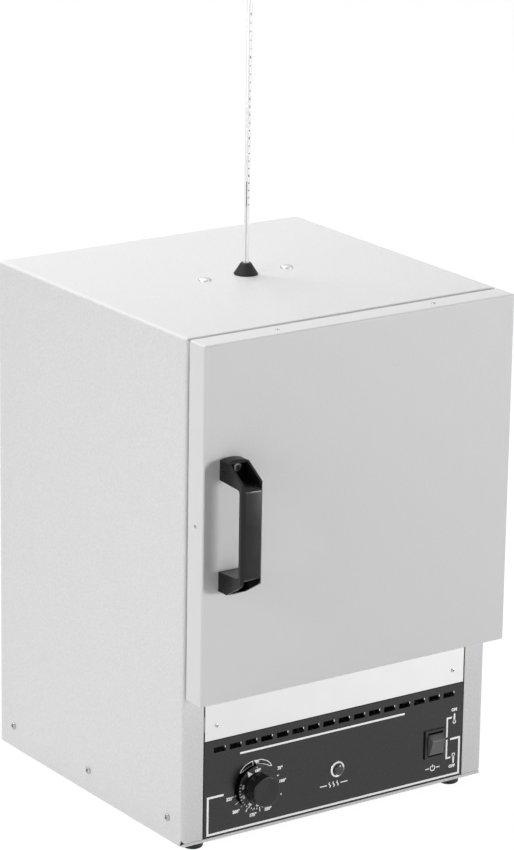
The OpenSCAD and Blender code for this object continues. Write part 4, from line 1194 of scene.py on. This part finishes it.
@dataclass
class Studio:
    """Camera, soft lamps, and a white floor and sky."""

    eye: tuple[float, float, float] = (-2.15738, -3.10420, 1.52372)
    heading: float = 34.798
    dip: float = 16.8145
    roll: float = 0.9096
    focal_px: float = 3924.35
    centre_px: tuple[float, float] = (260.726, 421.863)
    frame_px: tuple[int, int] = (514, 850)
    sensor: float = 36.0
    ambient: float = 0.15
    floor_half: float = 30.0
    floor_grey: float = 0.84
    floor_share: float = 0.85
    floor_shine: float = 1.14
    boxes: tuple[SoftBox, ...] = (
        SoftBox("left_box", (-1.9, -0.35, 0.85), (0, -0.1, 0.3), (0.9, 1.2), 15.5),
        SoftBox("key_box", (2.7, -3.6, 0.52), (0, -0.15, 0.3), (0.9, 0.9), 86),
        SoftBox("top_box", (-0.2, 1.2, 2.9), (0, 0, 0.5), (1.4, 1.4), 72),
    )

    def camera(self) -> None:
        """Stand the camera at the photograph's viewpoint."""
        data = bpy.data.cameras.new("camera")
        width, height = self.frame_px
        data.sensor_fit, data.sensor_width, data.sensor_height = "AUTO", self.sensor, self.sensor
        data.lens = self.focal_px * self.sensor / height
        data.shift_x = (width / 2 - self.centre_px[0]) / height
        data.shift_y = (self.centre_px[1] - height / 2) / height
        data.clip_start, data.clip_end = 0.05, 60
        camera = bpy.data.objects.new("camera", data)
        head, dip = math.radians(self.heading), math.radians(self.dip)
        ahead = Vector((math.sin(head) * math.cos(dip), math.cos(head) * math.cos(dip), -math.sin(dip)))
        right = ahead.cross(Vector((0, 0, 1))).normalized()
        up = right.cross(ahead)
        tilt = math.radians(self.roll)
        across = right * math.cos(tilt) + up * math.sin(tilt)
        upward = across.cross(ahead)
        turn = Matrix((across, upward, -ahead)).transposed()
        camera.matrix_world = Matrix.Translation(Vector(self.eye)) @ turn.to_4x4()
        into_scene(camera)
        bpy.context.scene.camera = camera

    def seen(self, tree: bpy.types.NodeTree) -> Socket:
        """Tell the rays that show the background from those that only light.

        Args:
            tree: The node tree that needs it.

        Returns:
            1 for a camera, glossy or transmission ray, and 0 for any other.
        """
        rays = shader_node(tree, "LightPath", {}).outputs
        value = rays["Is Camera Ray"]
        for kind in ("Is Glossy Ray", "Is Transmission Ray"):
            inputs = {0: value, 1: rays[kind]}
            value = shader_node(tree, "Math", inputs, operation="MAXIMUM").outputs[0]
        return value

    def sky(self) -> None:
        """Make the world white to the camera and in reflections, and dim as light."""
        world = bpy.data.worlds.new("studio")
        bpy.context.scene.world = world
        world.use_nodes = True
        tree = world.node_tree
        tree.nodes.clear()
        dim, white = (shader_node(tree, "Background", {"Strength": strength}).outputs[0]
                      for strength in (self.ambient, 1.0))
        mix = shader_node(tree, "MixShader", {0: self.seen(tree), 1: dim, 2: white}).outputs[0]
        shader_node(tree, "OutputWorld", {"Surface": mix})

    def floor(self) -> None:
        """Lay a wide pale floor that reads as white and keeps a faint shadow."""
        mesh = bpy.data.meshes.new("studio_floor")
        edge = np.array([(-1, -1), (1, -1), (1, 1), (-1, 1)]) * self.floor_half
        mesh.from_pydata(np.hstack([edge, np.zeros((4, 1))]).tolist(), [], [(0, 1, 2, 3)])
        material = bpy.data.materials.new("studio_floor")
        material.use_nodes = True
        tree = material.node_tree
        shader = tree.nodes["Principled BSDF"]
        shader.inputs["Base Color"].default_value = (*grey(self.floor_grey), 1)
        shader.inputs["Roughness"].default_value = 0.9
        shader.inputs["Specular IOR Level"].default_value = 0.0
        shine = shader_node(tree, "Emission", {"Strength": self.floor_shine}).outputs[0]
        inputs = {0: self.seen(tree), 1: self.floor_share}
        share = shader_node(tree, "Math", inputs, operation="MULTIPLY").outputs[0]
        mix = shader_node(tree, "MixShader", {0: share, 1: shader.outputs[0], 2: shine}).outputs[0]
        tree.links.new(mix, tree.nodes["Material Output"].inputs["Surface"])
        mesh.materials.append(material)
        floor = bpy.data.objects.new("studio_floor", mesh)
        into_scene(floor)

    def build(self) -> None:
        """Set the view transform and build camera, lamps, sky and floor."""
        bpy.context.scene.view_settings.view_transform = "Standard"
        self.camera()
        for box in self.boxes:
            box.hang()
        self.sky()
        self.floor()


def main() -> None:
    """Build every class in order."""
    logging.basicConfig(level=logging.INFO, format="%(name)s: %(message)s")
    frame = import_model()
    cabinet = Cabinet(frame["nodes"])
    Studio().build()
    cabinet.dress()
    PanScrews(cabinet).build()
    DoorSeal(cabinet).build()
    SlotEdgeGlints(cabinet).build()
    PanelPrint(cabinet).build()
    PilotLamp(cabinet).build()
    Dial(cabinet).build()
    cabinet.softened("handle", 0.7, Finish.HANDLE, "door")
    cabinet.softened("rocker_paddle", 0.45, Finish.PADDLE, "rocker")
    cabinet.softened("switch_housing", 0.4, Finish.SOCKET, "cabinet", 2)
    Thermometer(cabinet).build()
    bpy.context.view_layer.update()


if __name__ == "__main__":
    main()
